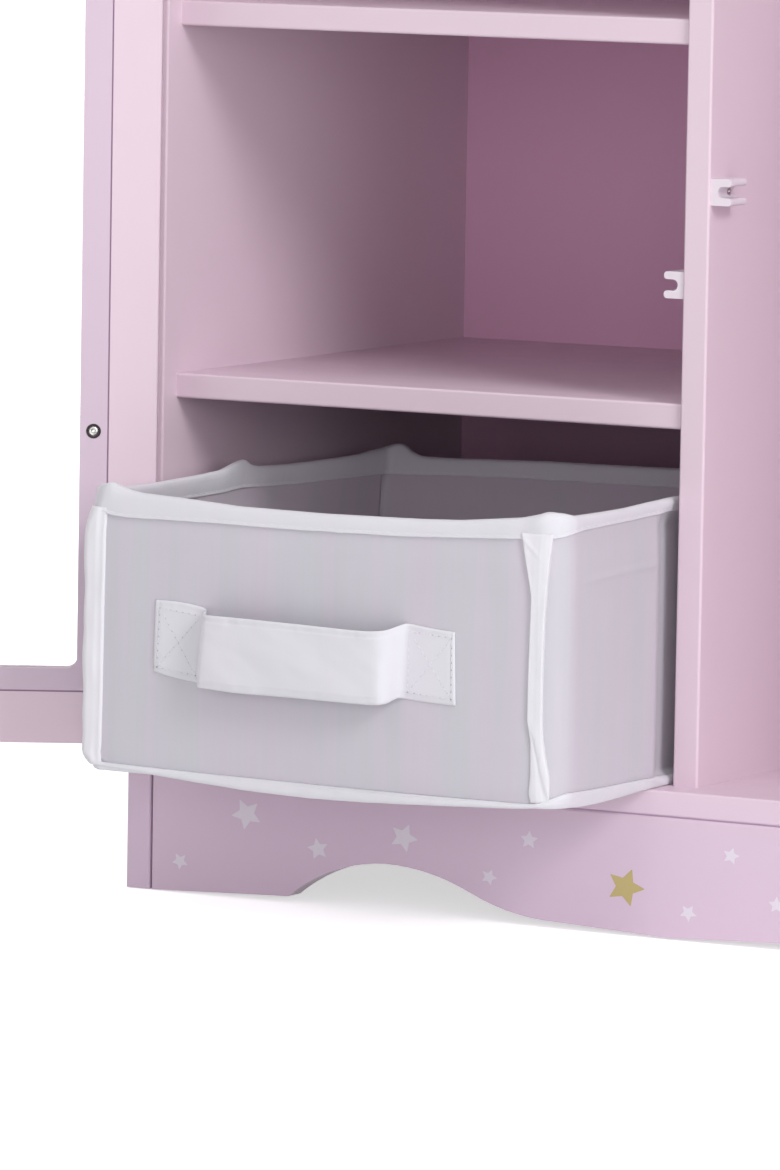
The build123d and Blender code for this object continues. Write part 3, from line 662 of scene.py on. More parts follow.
BODY_NORMALS = loop_normals(BODY_LOOP)


def near(s, centre, reach):
    """One at a place round the loop, easing to zero at the reach."""
    gap = np.abs((np.asarray(s) - centre + LOOP_LENGTH / 2) % LOOP_LENGTH - LOOP_LENGTH / 2)
    return 1 - smooth_step(gap, 0.0, reach)


def s_on(side, share):
    """Distance round the loop at a share of one side's straight run."""
    first = SIDE_STARTS[side]
    return float(LOOP_S[first] + (LOOP_S[first + SIDE_STEPS] - LOOP_S[first]) * share)


RIGHT_FOLD_SHARE = (FOLD_Y - BIN_FRONT) / (BIN_BACK - BIN_FRONT)
SEAMS = {"front_left": s_on("front", 0.02), "front_right": s_on("front", 1.0),
         "back_right": s_on("back", 0.0), "back_left": s_on("left", 0.0)}
FOLDS = {"right": s_on("right", RIGHT_FOLD_SHARE), "left": s_on("left", 1 - RIGHT_FOLD_SHARE)}
FRONT_MIDDLE = s_on("front", 0.5)

# How far the walls tuck in, bulge, crease and wrinkle, and the ranges over which each fades

RIGHT_TUCK = 6.5
RIGHT_TUCK_START = (place_y(-17.0), place_y(2.0))
RIGHT_TUCK_END = (FOLD_Y + 8.0, FOLD_Y + 70.0)
RIGHT_TUCK_FOOT = (72.5, 77.5)
RIGHT_TUCK_RIM = (193.0, 203.0)
RIGHT_PART = (place_x(200.0), place_x(255.0))
BACK_TUCK = 7.5
LEFT_PART = (place_x(20.0), place_x(80.0))
WALL_TALL = 130.0
# Height of each bulge and its reach round the loop
FRONT_BULGE = (1.5, 118.0)
FOLD_BULGE = (2.4, 26.0)
SEAM_DIP = (0.5, 14.0)
# The right side's crease: a point on it as Y and height, and its slope
SIDE_CREASE = (place_y(-70.0), 174.8, 0.02)
CREASE_HIGH = 0.7
CREASE_WIDE = 1.4
CREASE_START = (place_y(-105.0), place_y(-60.0))
CREASE_END = (place_y(-20.0), place_y(-4.0))
CREASE_SIDE = (place_x(255.0), place_x(262.0))
# Height, size, rate of change up the wall against that along it, and seed of each wrinkle noise
WRINKLES = ((0.55, 46.0, 0.45, 3), (0.16, 13.0, 0.3, 5))
# Share of the wrinkles that the front left seam smooths away, and its reach
SEAM_CALM = (0.6, 20.0)


def wall_points(s, z, out=0.0):
    """Points on the bin's outer face at distances s round it and heights z, moved out by a distance."""
    s, z = np.broadcast_arrays(np.asarray(s, float), np.asarray(z, float))
    top = smooth_step(z, *TOP_FADE)
    foot = (1 - smooth_step(z, *FOOT_FADE)) ** 2
    shares = ((BODY_LOOP, 1 - top - foot), (TOP_LOOP, top), (FOOT_LOOP, foot))
    x, y = [sum(share * along_loop(loop[:, axis], s) for loop, share in shares) for axis in (0, 1)]
    beside = rise_and_fall(y, RIGHT_TUCK_START, RIGHT_TUCK_END) * smooth_step(z, *RIGHT_TUCK_FOOT)
    beside *= 1 - 0.8 * smooth_step(z, *RIGHT_TUCK_RIM)
    x = x - RIGHT_TUCK * beside * smooth_step(x, *RIGHT_PART)
    height_share = np.clip((z - BIN_LOW) / WALL_TALL, 0, 1)
    behind = smooth_step(y, FOLD_Y, BIN_BACK) * (1 - smooth_step(x, *LEFT_PART))
    x = x + BACK_TUCK * height_share * behind

    high, reach = FRONT_BULGE
    bulge = high * near(s, FRONT_MIDDLE, reach) * np.sin(np.pi * height_share)
    high, reach = FOLD_BULGE
    bulge += high * near(s, FOLDS["left"], reach) * (0.4 + 0.6 * height_share)
    high, reach = SEAM_DIP
    bulge -= high * sum(near(s, seam, reach) for seam in SEAMS.values())
    crease_y, crease_z, slope = SIDE_CREASE
    ridge = bell(z - crease_z - slope * (y - crease_y), CREASE_WIDE)
    ridge *= rise_and_fall(y, CREASE_START, CREASE_END) * smooth_step(x, *CREASE_SIDE)
    bulge += CREASE_HIGH * ridge

    points = np.stack([x, y, z], axis=-1)
    wrinkle = sum(high * soft_noise(points * (1.0, 1.0, upward), size, seed)
                  for high, size, upward, seed in WRINKLES)
    share, reach = SEAM_CALM
    moved = bulge + wrinkle * (1 - share * near(s, SEAMS["front_left"], reach)) + out
    for axis in (0, 1):
        points[..., axis] += along_loop(BODY_NORMALS[:, axis], s) * moved
    return points


CORNER_REACH = 9.0
SIDE_SAMPLES = 500


def s_at(side, value, height):
    """Distance round the loop where the wall at a height passes a place, given as X on the front and
    back and as Y on the other sides."""
    first = SIDE_STARTS[side]
    axis = 0 if side in ("front", "back") else 1
    sign = 1 if side in ("front", "right") else -1
    s = np.linspace(LOOP_S[first] - CORNER_REACH, LOOP_S[first + SIDE_STEPS] + CORNER_REACH, SIDE_SAMPLES)
    reached = np.maximum.accumulate(sign * wall_points(s, height)[:, axis])
    return np.interp(sign * np.asarray(value), reached, s)


def front_s(value, height):
    """Distance round the loop of a place on the front, so far from the left side panel's inner face."""
    return s_at("front", place_x(np.asarray(value)), height)


def keyed(keys, s, soften):
    """A value round the loop from (distance, value) keys, softened over a distance to each side."""
    positions, values = np.array(sorted((position % LOOP_LENGTH, value) for position, value in keys)).T
    positions = np.concatenate([positions - LOOP_LENGTH, positions, positions + LOOP_LENGTH])
    shifted = [np.mod(s, LOOP_LENGTH) + share * soften for share in (-1.0, -0.5, 0.0, 0.5, 1.0)]
    return sum(np.interp(place, positions, np.tile(values, 3)) for place in shifted) / 5


def keys_round(height, **sides):
    """Keys round the loop from each side's (place, value) pairs, as they lie at about that height."""
    keys = []
    for side, pairs in sides.items():
        place = place_x if side in ("front", "back") else place_y
        places, values = np.array(pairs, float).T
        keys += zip(s_at(side, place(places), height).tolist(), values.tolist())
    return keys


# Heights of the tapes' edges, keyed by X on the front and back and by Y on the other sides

RIM_HEIGHT = 203.0
HEM_HEIGHT = 192.0
FOOT_HEIGHT = 73.0
RIM_KEYS = keys_round(
    RIM_HEIGHT,
    front=[(26, 206.0), (28.5, 207.3), (31, 207.0), (34, 205.7), (40, 204.0), (46, 202.9), (73, 201.5),
           (101, 199.7), (145, 199.2), (196, 199.8), (218, 200.7), (249, 203.8), (256, 205.4),
           (262, 207.2), (267, 206.9)],
    right=[(-106, 206.4), (-97, 205.1), (-73, 204.8), (-48, 204.8), (-22, 205.6), (6, 205.9),
           (24, 206.2), (34, 207.6), (40, 205.0), (96, 203.6), (150, 204.4), (158, 206.0)],
    back=[(266, 206.8), (262, 207.0), (250, 204.6), (192, 203.4), (149, 202.8), (120, 202.6),
          (65, 200.9), (50, 200.9), (44, 202.8), (40, 206.2), (36, 206.8)],
    left=[(158, 204.6), (132, 202.5), (97, 202.1), (71, 202.0), (46, 202.8), (39, 204.2), (34.5, 207.0),
          (20, 205.4), (8, 203.7), (-11, 202.9), (-30, 202.6), (-59, 202.1), (-84, 202.6), (-95, 203.2),
          (-101, 204.4)],
)
RIM_LOWER_KEYS = keys_round(
    HEM_HEIGHT,
    front=[(23, 193.6), (27.7, 192.0), (31.6, 191.1), (41, 190.7), (77, 191.1), (133, 190.7),
           (190, 191.3), (249, 193.9), (262, 194.2), (268, 194.8)],
    right=[(-108, 195.6), (-101, 196.4), (-92, 197.8), (-67, 198.2), (-33, 198.8), (5, 199.3),
           (34, 199.0), (150, 196.0)],
    back=[(262, 195.0), (174, 193.4), (81, 192.8), (40, 191.0)],
    left=[(155, 190.8), (129, 191.4), (83, 191.4), (31, 192.8), (5, 192.3), (-24, 192.1), (-100, 192.6)],
)
FOOT_UPPER_KEYS = keys_round(
    FOOT_HEIGHT,
    front=[(24, 74.6), (30, 73.9), (81, 72.9), (135, 72.2), (193, 71.7), (256, 71.9), (265, 74.0)],
    right=[(-104, 77.4), (-92, 77.0), (-81, 76.6), (-60, 76.2), (-45, 76.0), (-10, 75.2), (10, 74.4),
           (150, 74.6)],
    back=[(262, 75.0), (30, 75.0)],
    left=[(150, 75.0), (-100, 75.0)],
)
HEM_LOWER_KEYS = keys_round(
    FOOT_HEIGHT,
    front=[(22, 72.2), (41, 71.0), (60, 69.6), (82, 68.0), (108, 66.3), (136, 65.5), (168, 65.9),
           (193, 66.8), (226, 68.3), (250, 69.4), (262, 70.4)],
    right=[(-103, 70.8), (-95, 69.8), (-87, 69.3), (-66, 69.0), (-45, 69.4), (-24, 70.2)],
)


def rim_top(s):
    return keyed(RIM_KEYS, s, 1.5)


def rim_lower(s):
    return keyed(RIM_LOWER_KEYS, s, 4.0)


def foot_upper(s):
    return keyed(FOOT_UPPER_KEYS, s, 4.0)


# The bin's walls and floor

WALL_ROWS = 110
WALL_COLUMN_STEP = 2.4
WALL_ABOVE_BASE = 0.8
WALL_BELOW_RIM = 1.6
BASE_GRID = (40, 42)
BASE_EDGE_ROUND = 1.2
BASE_CROWN = 0.6


def add_wall(side, start, end):
    """One panel of the bin between two seams, with its grey lining inside."""
    length = (end - start) % LOOP_LENGTH
    s = start + np.linspace(0, length, int(length / WALL_COLUMN_STEP))
    low = BIN_LOW + WALL_ABOVE_BASE
    z = low + np.linspace(0, 1, WALL_ROWS)[:, None] * (rim_top(s) - WALL_BELOW_RIM - low)
    outer, inner = wall_points(s, z), wall_points(s, z, -WALL_THICK)
    looks = [LOOKS["grey_fabric"], LINING_LOOK]
    piece = bin_shell("bin_" + side + "_cloth", outer, inner, looks, "grey_fabric")
    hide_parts("bin_" + side + "_wall")


def add_bin_walls():
    corners = list(SEAMS.values())
    for side, start, end in zip(SIDES, corners, corners[1:] + corners[:1]):
        add_wall(side, start, end)


def add_bin_floor():
    """The stiff base board in its cloth, slightly crowned."""
    low, high = box_mm("bin_base_board")
    columns, rows = BASE_GRID
    u, v = np.meshgrid(np.linspace(-1, 1, columns), np.linspace(-1, 1, rows))
    rounded = BASE_EDGE_ROUND * np.maximum(np.abs(u), np.abs(v)) ** 30
    x = (low.x + high.x) / 2 + u * ((high.x - low.x) / 2 - 4.6)
    y = (low.y + high.y) / 2 + v * ((high.y - low.y) / 2 - 3.4)
    upper = high.z + BASE_CROWN * (1 - u * u) * (1 - v * v) - rounded
    outer, inner = [np.stack([x, y, z], axis=-1) for z in (upper, low.z + 0.3 + rounded)]
    looks = [LINING_LOOK, LOOKS["grey_fabric"]]
    piece = bin_shell("bin_base_cloth", outer, inner, looks, "grey_fabric")
    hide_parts("bin_base_board")


# Tapes round the bin

TAPE = 0.9
INNER_TAPE_TALL = 9.0
STITCH_RADIUS = 0.22
STITCH_SIDES = 5
RIM_STITCH_PITCH = 5.2
RIM_STITCH_SHARE = 0.74
# How far each part of a stitch stands out of the tape, from end to end
RIM_STITCH_ARCH = np.array([-0.2, 0.02, 0.06, 0.02, -0.2])
PATCH_STITCH_ARCH = np.array([-0.25, 0.04, 0.10, 0.04, -0.25])
STITCH_UP = 1.4


def loop_stations(step):
    """Even distances round the loop, with closer ones at the seams and folds."""
    count = int(LOOP_LENGTH / step)
    extra = [seam + shift for seam in (*SEAMS.values(), *FOLDS.values()) for shift in (-1.0, 0.0, 1.0)]
    even = np.linspace(0, LOOP_LENGTH, count, endpoint=False)
    return np.unique(np.concatenate([even, np.mod(extra, LOOP_LENGTH)]))


def puckers(s, seed):
    """Small gathers along a sewn tape, from about -1 to 1."""
    turn = 2 * np.pi * s / LOOP_LENGTH
    line = np.stack([np.cos(turn), np.sin(turn), np.zeros_like(s)], axis=-1) * LOOP_LENGTH / (2 * np.pi)
    return 0.6 * soft_noise(line, 9.0, seed) + 0.4 * soft_noise(line, 4.2, seed + 1)


def add_tape(name, s, rows, closed_loop=True, flip=True):
    """A tape along the bin's wall at distances s, from rows of (height, out) round its section."""
    grid = np.stack([wall_points(s, heights, outs) for heights, outs in rows])
    count, columns = grid.shape[:2]
    faces = grid_faces(count, columns, loop_rows=True, loop_columns=closed_loop, flip=flip)
    if not closed_loop:
        faces.append([row * columns for row in range(count)])
        faces.append([row * columns + columns - 1 for row in range(count - 1, -1, -1)])
    points = grid.reshape(-1, 3)
    return add_piece(name, points, faces, [LOOKS["white_tape"]])


def tape_half(lower, top, puff, lift, high_share):
    """Rows of (height, out) up one side of a folded tape, from its hem almost to the fold."""
    tall = top - lower
    return [
        (lower, 0.1),
        (lower + 0.1, TAPE + 0.1),
        (lower + 0.35, TAPE + 0.35),
        (lower + 0.75, TAPE + 0.35),
        (lower + STITCH_UP, TAPE + 0.05 + 0.1 * puff),
        (lower + 2.2, TAPE + 0.2 + 0.4 * puff),
        (lower + 0.5 * tall, TAPE + 0.4 + puff + 0.8 * lift),
        (lower + high_share * tall, TAPE + 0.3 + puff + 0.9 * lift),
        (top - 1.3, TAPE + 0.1 + 0.4 * puff + 0.5 * lift),
        (top - 0.45, TAPE - 0.5),
    ]


def add_rim_binding():
    """Tape folded over the top of the walls, from its outer hem over to the inner one."""
    s = loop_stations(1.7)
    top = rim_top(s)
    lower = rim_lower(s) + 0.3 * puckers(s, 11)
    inner_lower = np.minimum(lower, top - INNER_TAPE_TALL) + 0.3 * puckers(s, 17)
    seam_lift = sum(near(s, seam, 9.0) for seam in SEAMS.values())
    outer = tape_half(lower, top, 0.35 * puckers(s, 21), seam_lift, 0.72)
    inner = tape_half(inner_lower, top, 0.35 * puckers(s, 27), 0.0, 0.7)
    rows = outer + [(top, -WALL_THICK / 2)]
    rows += [(height, -WALL_THICK - out) for height, out in reversed(inner)]
    piece = add_tape("bin_rim_tape", s, rows, flip=False)
    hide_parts("bin_rim_binding")


HOLE_RADIUS = 0.36
HOLE_DEEP = 0.12
HOLE_SIDES = 6


def needle_hole(place, out):
    """A dimple where the thread goes in, in a grey that is painted shade: a flat six-sided lens facing out.
    """
    edge = place + HOLE_RADIUS * ring(out, HOLE_SIDES)
    points = np.concatenate([edge, [place + out * HOLE_DEEP, place - out * HOLE_DEEP]])
    faces = []
    for here in range(HOLE_SIDES):
        after = (here + 1) % HOLE_SIDES
        faces.append([here, after, HOLE_SIDES])
        faces.append([after, here, HOLE_SIDES + 1])
    return points, faces


def add_stitches(name, threads, holes):
    """Sewing threads as one piece, and the painted shade of their needle holes as another."""
    for kind, parts, look in (("_thread", threads, THREAD_LOOK), ("_needle_hole_shades", holes, SHADE_LOOK)):
        add_piece(name + kind, *join_parts(parts), [look])


def add_rim_stitches():
    """A row of stitches along the tape's outer hem and one along its inner hem."""
    threads, holes = [], []
    count = int(LOOP_LENGTH / RIM_STITCH_PITCH)
    for side, base in ((1, TAPE), (-1, -WALL_THICK - TAPE)):
        for number in range(count):
            s = (number + 0.15 + np.linspace(0, RIM_STITCH_SHARE, 5)) * LOOP_LENGTH / count
            hem = rim_lower(s) if side > 0 else np.minimum(rim_lower(s), rim_top(s) - INNER_TAPE_TALL)
            height = hem + STITCH_UP
            path = wall_points(s, height, base + side * RIM_STITCH_ARCH)
            threads.append(tube(path, STITCH_RADIUS, STITCH_SIDES))
            normal = [float(along_loop(BODY_NORMALS[:, axis], s[0])) for axis in (0, 1)]
            hole = wall_points(s[:1], height[:1], base - side * 0.05)[0]
            holes.append(needle_hole(hole, np.array([*normal, 0.0]) * side))
    add_stitches("bin_rim", threads, holes)


def add_foot_binding():
    """Tape round the bottom edge of the walls, turned under them."""
    s = loop_stations(2.2)
    upper = foot_upper(s) + 0.15 * puckers(s, 31)
    puff = 0.3 * puckers(s, 35)
    low = BIN_LOW - 0.25
    tall = upper - low
    rows = [
        (upper, 0.1),
        (upper - 0.2, TAPE + 0.2),
        (upper - 0.8, TAPE + 0.45 + 0.3 * puff),
        (upper - 0.45 * tall, TAPE + 0.6 + puff),
        (low + 0.25 * tall, TAPE + 0.7 + puff),
        (low + 0.35, TAPE + 0.6 + 0.5 * puff),
        (low + 0.05, TAPE + 0.2),
        (low, 0.0),
        (low, -5.0),
        (low + 0.5, -5.2),
        (low + 0.6, -0.4),
    ]
    piece = add_tape("bin_foot_tape", s, rows)
    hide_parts("bin_bottom_binding")


# Section of the front hem: share of its height down from the foot tape, and distance out
HEM_SECTION = ((0.0, 0.3), (0.08, TAPE + 0.55), (0.3, TAPE + 0.9), (0.6, TAPE + 1.0), (0.88, TAPE + 0.8),
               (0.98, TAPE + 0.3), (1.0, 0.1), (0.97, -0.3), (0.6, -0.5), (0.0, -0.4))
HEM_COLUMNS = 210


def add_front_hem():
    """The seam allowance that hangs in a shallow curve below the drawn-out front and its right corner."""
    start = float(front_s(22.5, FOOT_HEIGHT))
    end = float(s_at("right", place_y(-24.0), FOOT_HEIGHT))
    s = np.linspace(start, end, HEM_COLUMNS)
    lower = keyed(HEM_LOWER_KEYS, s, 3.0) + 0.12 * puckers(s, 41)
    upper = foot_upper(s) - 0.5
    puff = 0.25 * puckers(s, 43)
    rows = [(upper - (upper - lower) * share, out + puff if out > TAPE else out)
            for share, out in HEM_SECTION]
    piece = add_tape("bin_front_hem", s, rows, closed_loop=False)
    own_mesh(piece)


# Upright ribbons over the bin's seams

RIBBON_COLUMNS = 31
RIBBON_ROW_STEP = 1.3


def add_ribbon(name, rows, relief):
    """A ribbon from (height, left edge, right edge) rows, the edges as distances round the loop.
    relief gives how far it stands out, from heights, shares across, and the ribbon's widths."""
    heights, lefts, rights = np.array(rows, float).T
    count = int((heights[-1] - heights[0]) / RIBBON_ROW_STEP)
    z = np.linspace(heights[0], heights[-1], count)[:, None]
    left = np.interp(z, heights, lefts)
    wide = np.interp(z, heights, rights) - left
    across = np.linspace(0, 1, RIBBON_COLUMNS)[None, :]
    s_grid = left + wide * across
    z_grid = z + 0 * across
    edge = np.minimum(across, 1 - across) * wide
    out = TAPE * smooth_step(edge, 0.0, 0.4) + relief(z_grid, across, wide) * smooth_step(edge, 0.0, 0.9)
    soft = soft_noise(np.stack([s_grid * 1.4, 0 * s_grid, z_grid * 0.5], axis=-1), 7.0, len(name))
    out = out + 0.22 * soft * smooth_step(edge, 0.0, 2.0)
    outer = wall_points(s_grid, z_grid, out)
    inner = wall_points(s_grid, z_grid, -0.3)
    return bin_shell(name, outer, inner, [RIBBON_LOOK])


RIBBON_KEY_STEP = 4.0


def front_rows(rows):
    """Ribbon rows, closely spaced, from rows whose edges are given as X on the front."""
    heights, lefts, rights = np.array(rows, float).T
    dense = np.linspace(heights[0], heights[-1], int((heights[-1] - heights[0]) / RIBBON_KEY_STEP))
    edges = zip(dense, np.interp(dense, heights, lefts), np.interp(dense, heights, rights))
    return [(float(height), float(front_s(left, height)), float(front_s(right, height)))
            for height, left, right in edges]


FRONT_RIGHT_EDGES = [
    (72.6, 256.6, 268.6), (76.3, 255.6, 267.2), (84.5, 256.2, 265.4), (91.5, 256.2, 263.9),
    (102.0, 255.9, 262.3), (110.0, 254.4, 261.9), (130.0, 254.4, 261.8), (158.0, 255.0, 262.3),
    (167.3, 255.2, 262.8), (171.0, 254.7, 263.0), (182.0, 252.5, 263.8), (194.0, 249.8, 264.6),
    (197.0, 249.2, 264.8),
]
# Height and share across of the fold where the ribbon's upper layer crosses over near the foot
TWIST_HEIGHTS = (72.6, 74.0, 79.0, 86.3, 94.0, 102.0, 109.5, 113.0)
TWIST_SHARES = (1.0, 0.92, 0.70, 0.52, 0.46, 0.26, 0.0, -0.2)


def twisted_relief(z, across, wide):
    """The front right ribbon: two crossed layers near the foot, flat above, with a pleat at the rim."""
    fold = np.interp(z, TWIST_HEIGHTS, TWIST_SHARES)
    upper = smooth_step((across - fold) * wide, -0.9, 0.9)
    roll = np.sin(np.pi * np.clip((across - fold) / np.maximum(1 - fold, 0.05), 0, 1)) * upper
    lower = np.sin(np.pi * np.clip(across / np.maximum(fold, 0.05), 0, 1)) * (1 - upper)
    twisted = 1 - smooth_step(z, 98.0, 112.0)
    flat = 1.0 - 0.3 * np.sin(np.pi * across)
    pleat = bell(across * wide - (196.0 - z) * 0.8, 0.8) * smooth_step(z, 183.0, 190.0)
    return (0.5 * upper + 0.4 * roll + 0.35 * lower) * twisted + flat * (1 - twisted) + 0.5 * pleat


FRONT_LEFT_STRIP = 2.7
FRONT_LEFT_EDGES = [(72.5, 27.2), (76.0, 26.9), (100.0, 27.3), (150.0, 27.7), (192.0, 28.3), (195.0, 28.5)]
FRONT_LEFT_WIDTHS = [(72.5, 17.0), (84.0, 21.0), (180.0, 21.0), (190.0, 18.0), (195.0, 14.0)]


def rolled_relief(z, across, wide):
    """The front left ribbon: a puffed roll round the corner, with a narrow flat strip at its right."""
    past = across * wide - (wide - FRONT_LEFT_STRIP)
    roll = 1 - smooth_step(past, -2.4, 0.6)
    waves = 0.25 * np.sin(z / 9.0) + 0.15 * np.sin(z / 3.7)
    return 0.3 + roll * (0.6 + waves)


def plain_relief(z, across, wide):
    """The ribbons at the back: a low arch with a step along its middle."""
    return 0.6 * np.sin(np.pi * across) + 0.4 * smooth_step(across, 0.45, 0.55)


# Heights and half widths of the two ribbons at the back
BACK_RIBBON = [(72.5, 8.0), (120.0, 6.5), (180.0, 6.5), (197.0, 8.0)]


def add_corner_ribbons():
    """The ribbons over the four seams. The front right one is wide at the rim and at the foot."""
    piece = add_ribbon("bin_front_right_ribbon", front_rows(FRONT_RIGHT_EDGES), twisted_relief)
    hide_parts("bin_corner_bindings")
    edges = front_rows([(height, edge, edge) for height, edge in FRONT_LEFT_EDGES])
    rows = [(height, edge - np.interp(height, *np.array(FRONT_LEFT_WIDTHS).T), edge)
            for height, _, edge in edges]
    add_ribbon("bin_front_left_ribbon", rows, rolled_relief)
    for name in ("back_right", "back_left"):
        rows = [(height, SEAMS[name] - half, SEAMS[name] + half) for height, half in BACK_RIBBON]
        add_ribbon("bin_" + name + "_ribbon", rows, plain_relief)


# The bin's handle: its two edges as X from the left side panel's inner face, distance out and height

STRAP_TOP = np.array([
    (56.4, 0.0, 153.2), (65.0, 0.0, 153.2), (73.4, 0.0, 152.7), (81.0, 0.1, 151.6), (84.6, 1.2, 150.7),
    (85.9, 4.2, 150.1), (86.9, 7.6, 149.6), (89.0, 10.5, 149.2), (95.0, 11.9, 149.2), (115.0, 12.1, 149.0),
    (142.0, 12.3, 148.4), (160.0, 12.2, 147.9), (173.0, 11.8, 147.6), (179.5, 11.0, 147.8),
    (183.6, 9.6, 148.2), (186.4, 7.4, 149.0), (188.6, 4.6, 150.1), (190.4, 2.0, 151.0),
    (192.0, 0.3, 151.3), (195.5, 0.0, 150.9), (206.0, 0.0, 149.7), (216.4, 0.0, 148.9),
])
STRAP_BOTTOM = np.array([
    (55.8, 0.0, 119.4), (61.0, 0.0, 118.1), (68.0, 0.0, 117.0), (76.0, 0.0, 116.0), (84.0, 0.4, 115.2),
    (85.4, 3.6, 115.0), (85.2, 7.6, 115.0), (85.8, 10.7, 114.9), (90.0, 12.0, 114.7), (108.0, 12.2, 113.9),
    (142.0, 12.5, 113.9), (160.0, 12.3, 113.7), (174.0, 12.0, 113.5), (181.5, 11.6, 113.6),
    (184.3, 10.2, 113.9), (186.0, 7.8, 114.5), (187.0, 4.8, 115.5), (187.9, 2.0, 116.2),
    (189.6, 0.3, 116.2), (193.5, 0.0, 115.8), (205.0, 0.0, 115.1), (217.4, 0.0, 114.7),
])
STRAP_THICK = 1.05
STRAP_LIFT = 0.15
STRAP_HEM = 2.2
STRAP_GROOVE = 0.42
STRAP_GATHER = 0.5
STRAP_BOW = 12.0
STRAP_COLUMNS = 190
STRAP_ROWS = 33
CURVE_STEPS = 12


def smooth_curve(keys, count):
    """A rounded line through the keys, evenly spaced along it."""
    padded = np.concatenate([[2 * keys[0] - keys[1]], keys, [2 * keys[-1] - keys[-2]]])
    dense = []
    for before, here, after, beyond in zip(padded, padded[1:], padded[2:], padded[3:]):
        for t in np.linspace(0, 1, CURVE_STEPS, endpoint=False):
            dense.append(0.5 * (2 * here + (after - before) * t
                                + (2 * before - 5 * here + 4 * after - beyond) * t ** 2
                                + (3 * here - before - 3 * after + beyond) * t ** 3))
    dense = np.array([*dense, keys[-1]])
    lengths = np.concatenate([[0], np.cumsum(np.linalg.norm(np.diff(dense, axis=0), axis=1))])
    even = np.linspace(0, lengths[-1], count)
    return np.stack([np.interp(even, lengths, values) for values in dense.T], axis=1)


def strap_rows(share):
    """The strap's back and front at one share of its height, measured from its lower edge."""
    x, out, z = smooth_curve(STRAP_BOTTOM * (1 - share) + STRAP_TOP * share, STRAP_COLUMNS).T
    out = np.maximum(out, 0.0)
    wall = wall_points(front_s(x, float(np.mean(z))), z)
    slack = np.clip(out / STRAP_BOW, 0, 1)
    rim = min(share, 1 - share) * (STRAP_TOP[0][2] - STRAP_BOTTOM[0][2])
    ends = np.minimum(x - x[0], x[-1] - x)
    edge = smooth_step(rim, 0.0, 0.6) * smooth_step(ends, 0.0, 0.6)
    groove = STRAP_GROOVE * (bell(rim - STRAP_HEM, 0.45) + bell(ends - STRAP_HEM, 0.5))
    gather = STRAP_GATHER * puckers(x * 1.6 + share * 12, 51) * bell(rim - 1.4, 2.4)
    place = np.stack([x * 0.8 + z * 0.3, z, x * 0.5 + z], axis=-1)
    ripple = (1.3 * soft_noise(place, 26.0, 9) + 0.3 * soft_noise(place, 9.0, 10)) * (0.15 + 0.85 * slack)
    back = STRAP_LIFT + out + 0.8 * ripple * (0.3 + 0.7 * slack)
    front = back + STRAP_THICK * (0.35 + 0.65 * edge) - groove + gather
    return [wall + FORWARD * distance[:, None] for distance in (back, front)]


def add_handle():
    """A hemmed strap sewn to the front by a patch at each end, bowed out and a little slack between."""
    rows = [strap_rows(row / (STRAP_ROWS - 1)) for row in range(STRAP_ROWS)]
    inner, outer = [np.array(side) for side in zip(*rows)]
    piece = bin_shell("bin_handle_strap", outer, inner, [LOOKS["white_tape"]])
    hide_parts("bin_handle")


PATCH_STITCH_PITCH = 3.4
PATCH_STITCH_SHARE = 0.72
# Corners of the sewn boxes as X and height: lower left, lower right, upper right and upper left
PATCH_BOXES = [
    [(58.0, 121.6), (79.0, 119.0), (82.0, 147.2), (59.3, 149.6)],
    [(192.6, 119.4), (215.3, 117.6), (215.2, 145.9), (193.2, 147.7)],
]


def patch_points(start, end, shares):
    """Points on the patch's face at shares of the way between two places."""
    x, z = [start[axis] + (end[axis] - start[axis]) * shares for axis in (0, 1)]
    return wall_points(front_s(x, float(np.mean(z))), z) + FORWARD * (0.12 + STRAP_THICK)


def add_patch_stitches():
    """A box with a cross in it, sewn through each patch."""
    threads, holes = [], []
    gap = (1 - PATCH_STITCH_SHARE) / 2
    for corners in PATCH_BOXES:
        crossed = [(corners[0], corners[2]), (corners[1], corners[3])]
        for start, end in [*zip(corners, corners[1:] + corners[:1]), *crossed]:
            step = PATCH_STITCH_PITCH / math.dist(start, end)
            for number in range(int(1 / step)):
                shares = (number + gap + np.linspace(0, PATCH_STITCH_SHARE, 5)) * step
                path = patch_points(start, end, shares) + FORWARD * PATCH_STITCH_ARCH[:, None]
                threads.append(tube(path, STITCH_RADIUS, STITCH_SIDES))
                hole = patch_points(start, end, np.array([number * step]))[0]
                holes.append(needle_hole(hole, FORWARD))
    add_stitches("bin_handle", threads, holes)


# Strips sunk in the open joints, in a darker paint that is painted shade

JOINT_SUNK = 0.5
RETAINER_JOINT_SUNK = 0.6
RETAINER_JOINT_WIDE = 0.8
RETAINER_JOINT_DEEP = 1.5


def bar(low, high):
    """Points and faces of a box between two corners, with a ring of points half way along."""
    (x0, y0, z0), (x1, y1, z1) = low, high
    ends = [np.array([(x, y0, z0), (x, y1, z0), (x, y1, z1), (x, y0, z1)]) for x in np.linspace(x0, x1, 3)]
    return np.concatenate(ends), capped_faces(3, 4)


def add_skirt_joint():
    """A strip sunk between the skirt and the bottom panel, in darker paint that is painted shade."""
    low, high = box_mm("front_skirt")
    panel_low = box_mm("bottom_panel")[0]
    front = max(low.y, panel_low.y) + JOINT_SUNK
    joint = bar((low.x + 1.0, front, high.z - 0.1), (high.x - 1.0, front + 3.0, panel_low.z + 0.1))
    add_piece("skirt_joint_shade", *joint, [JOINT_SHADE_LOOK], "carcase", "painted_board", smooth=False)


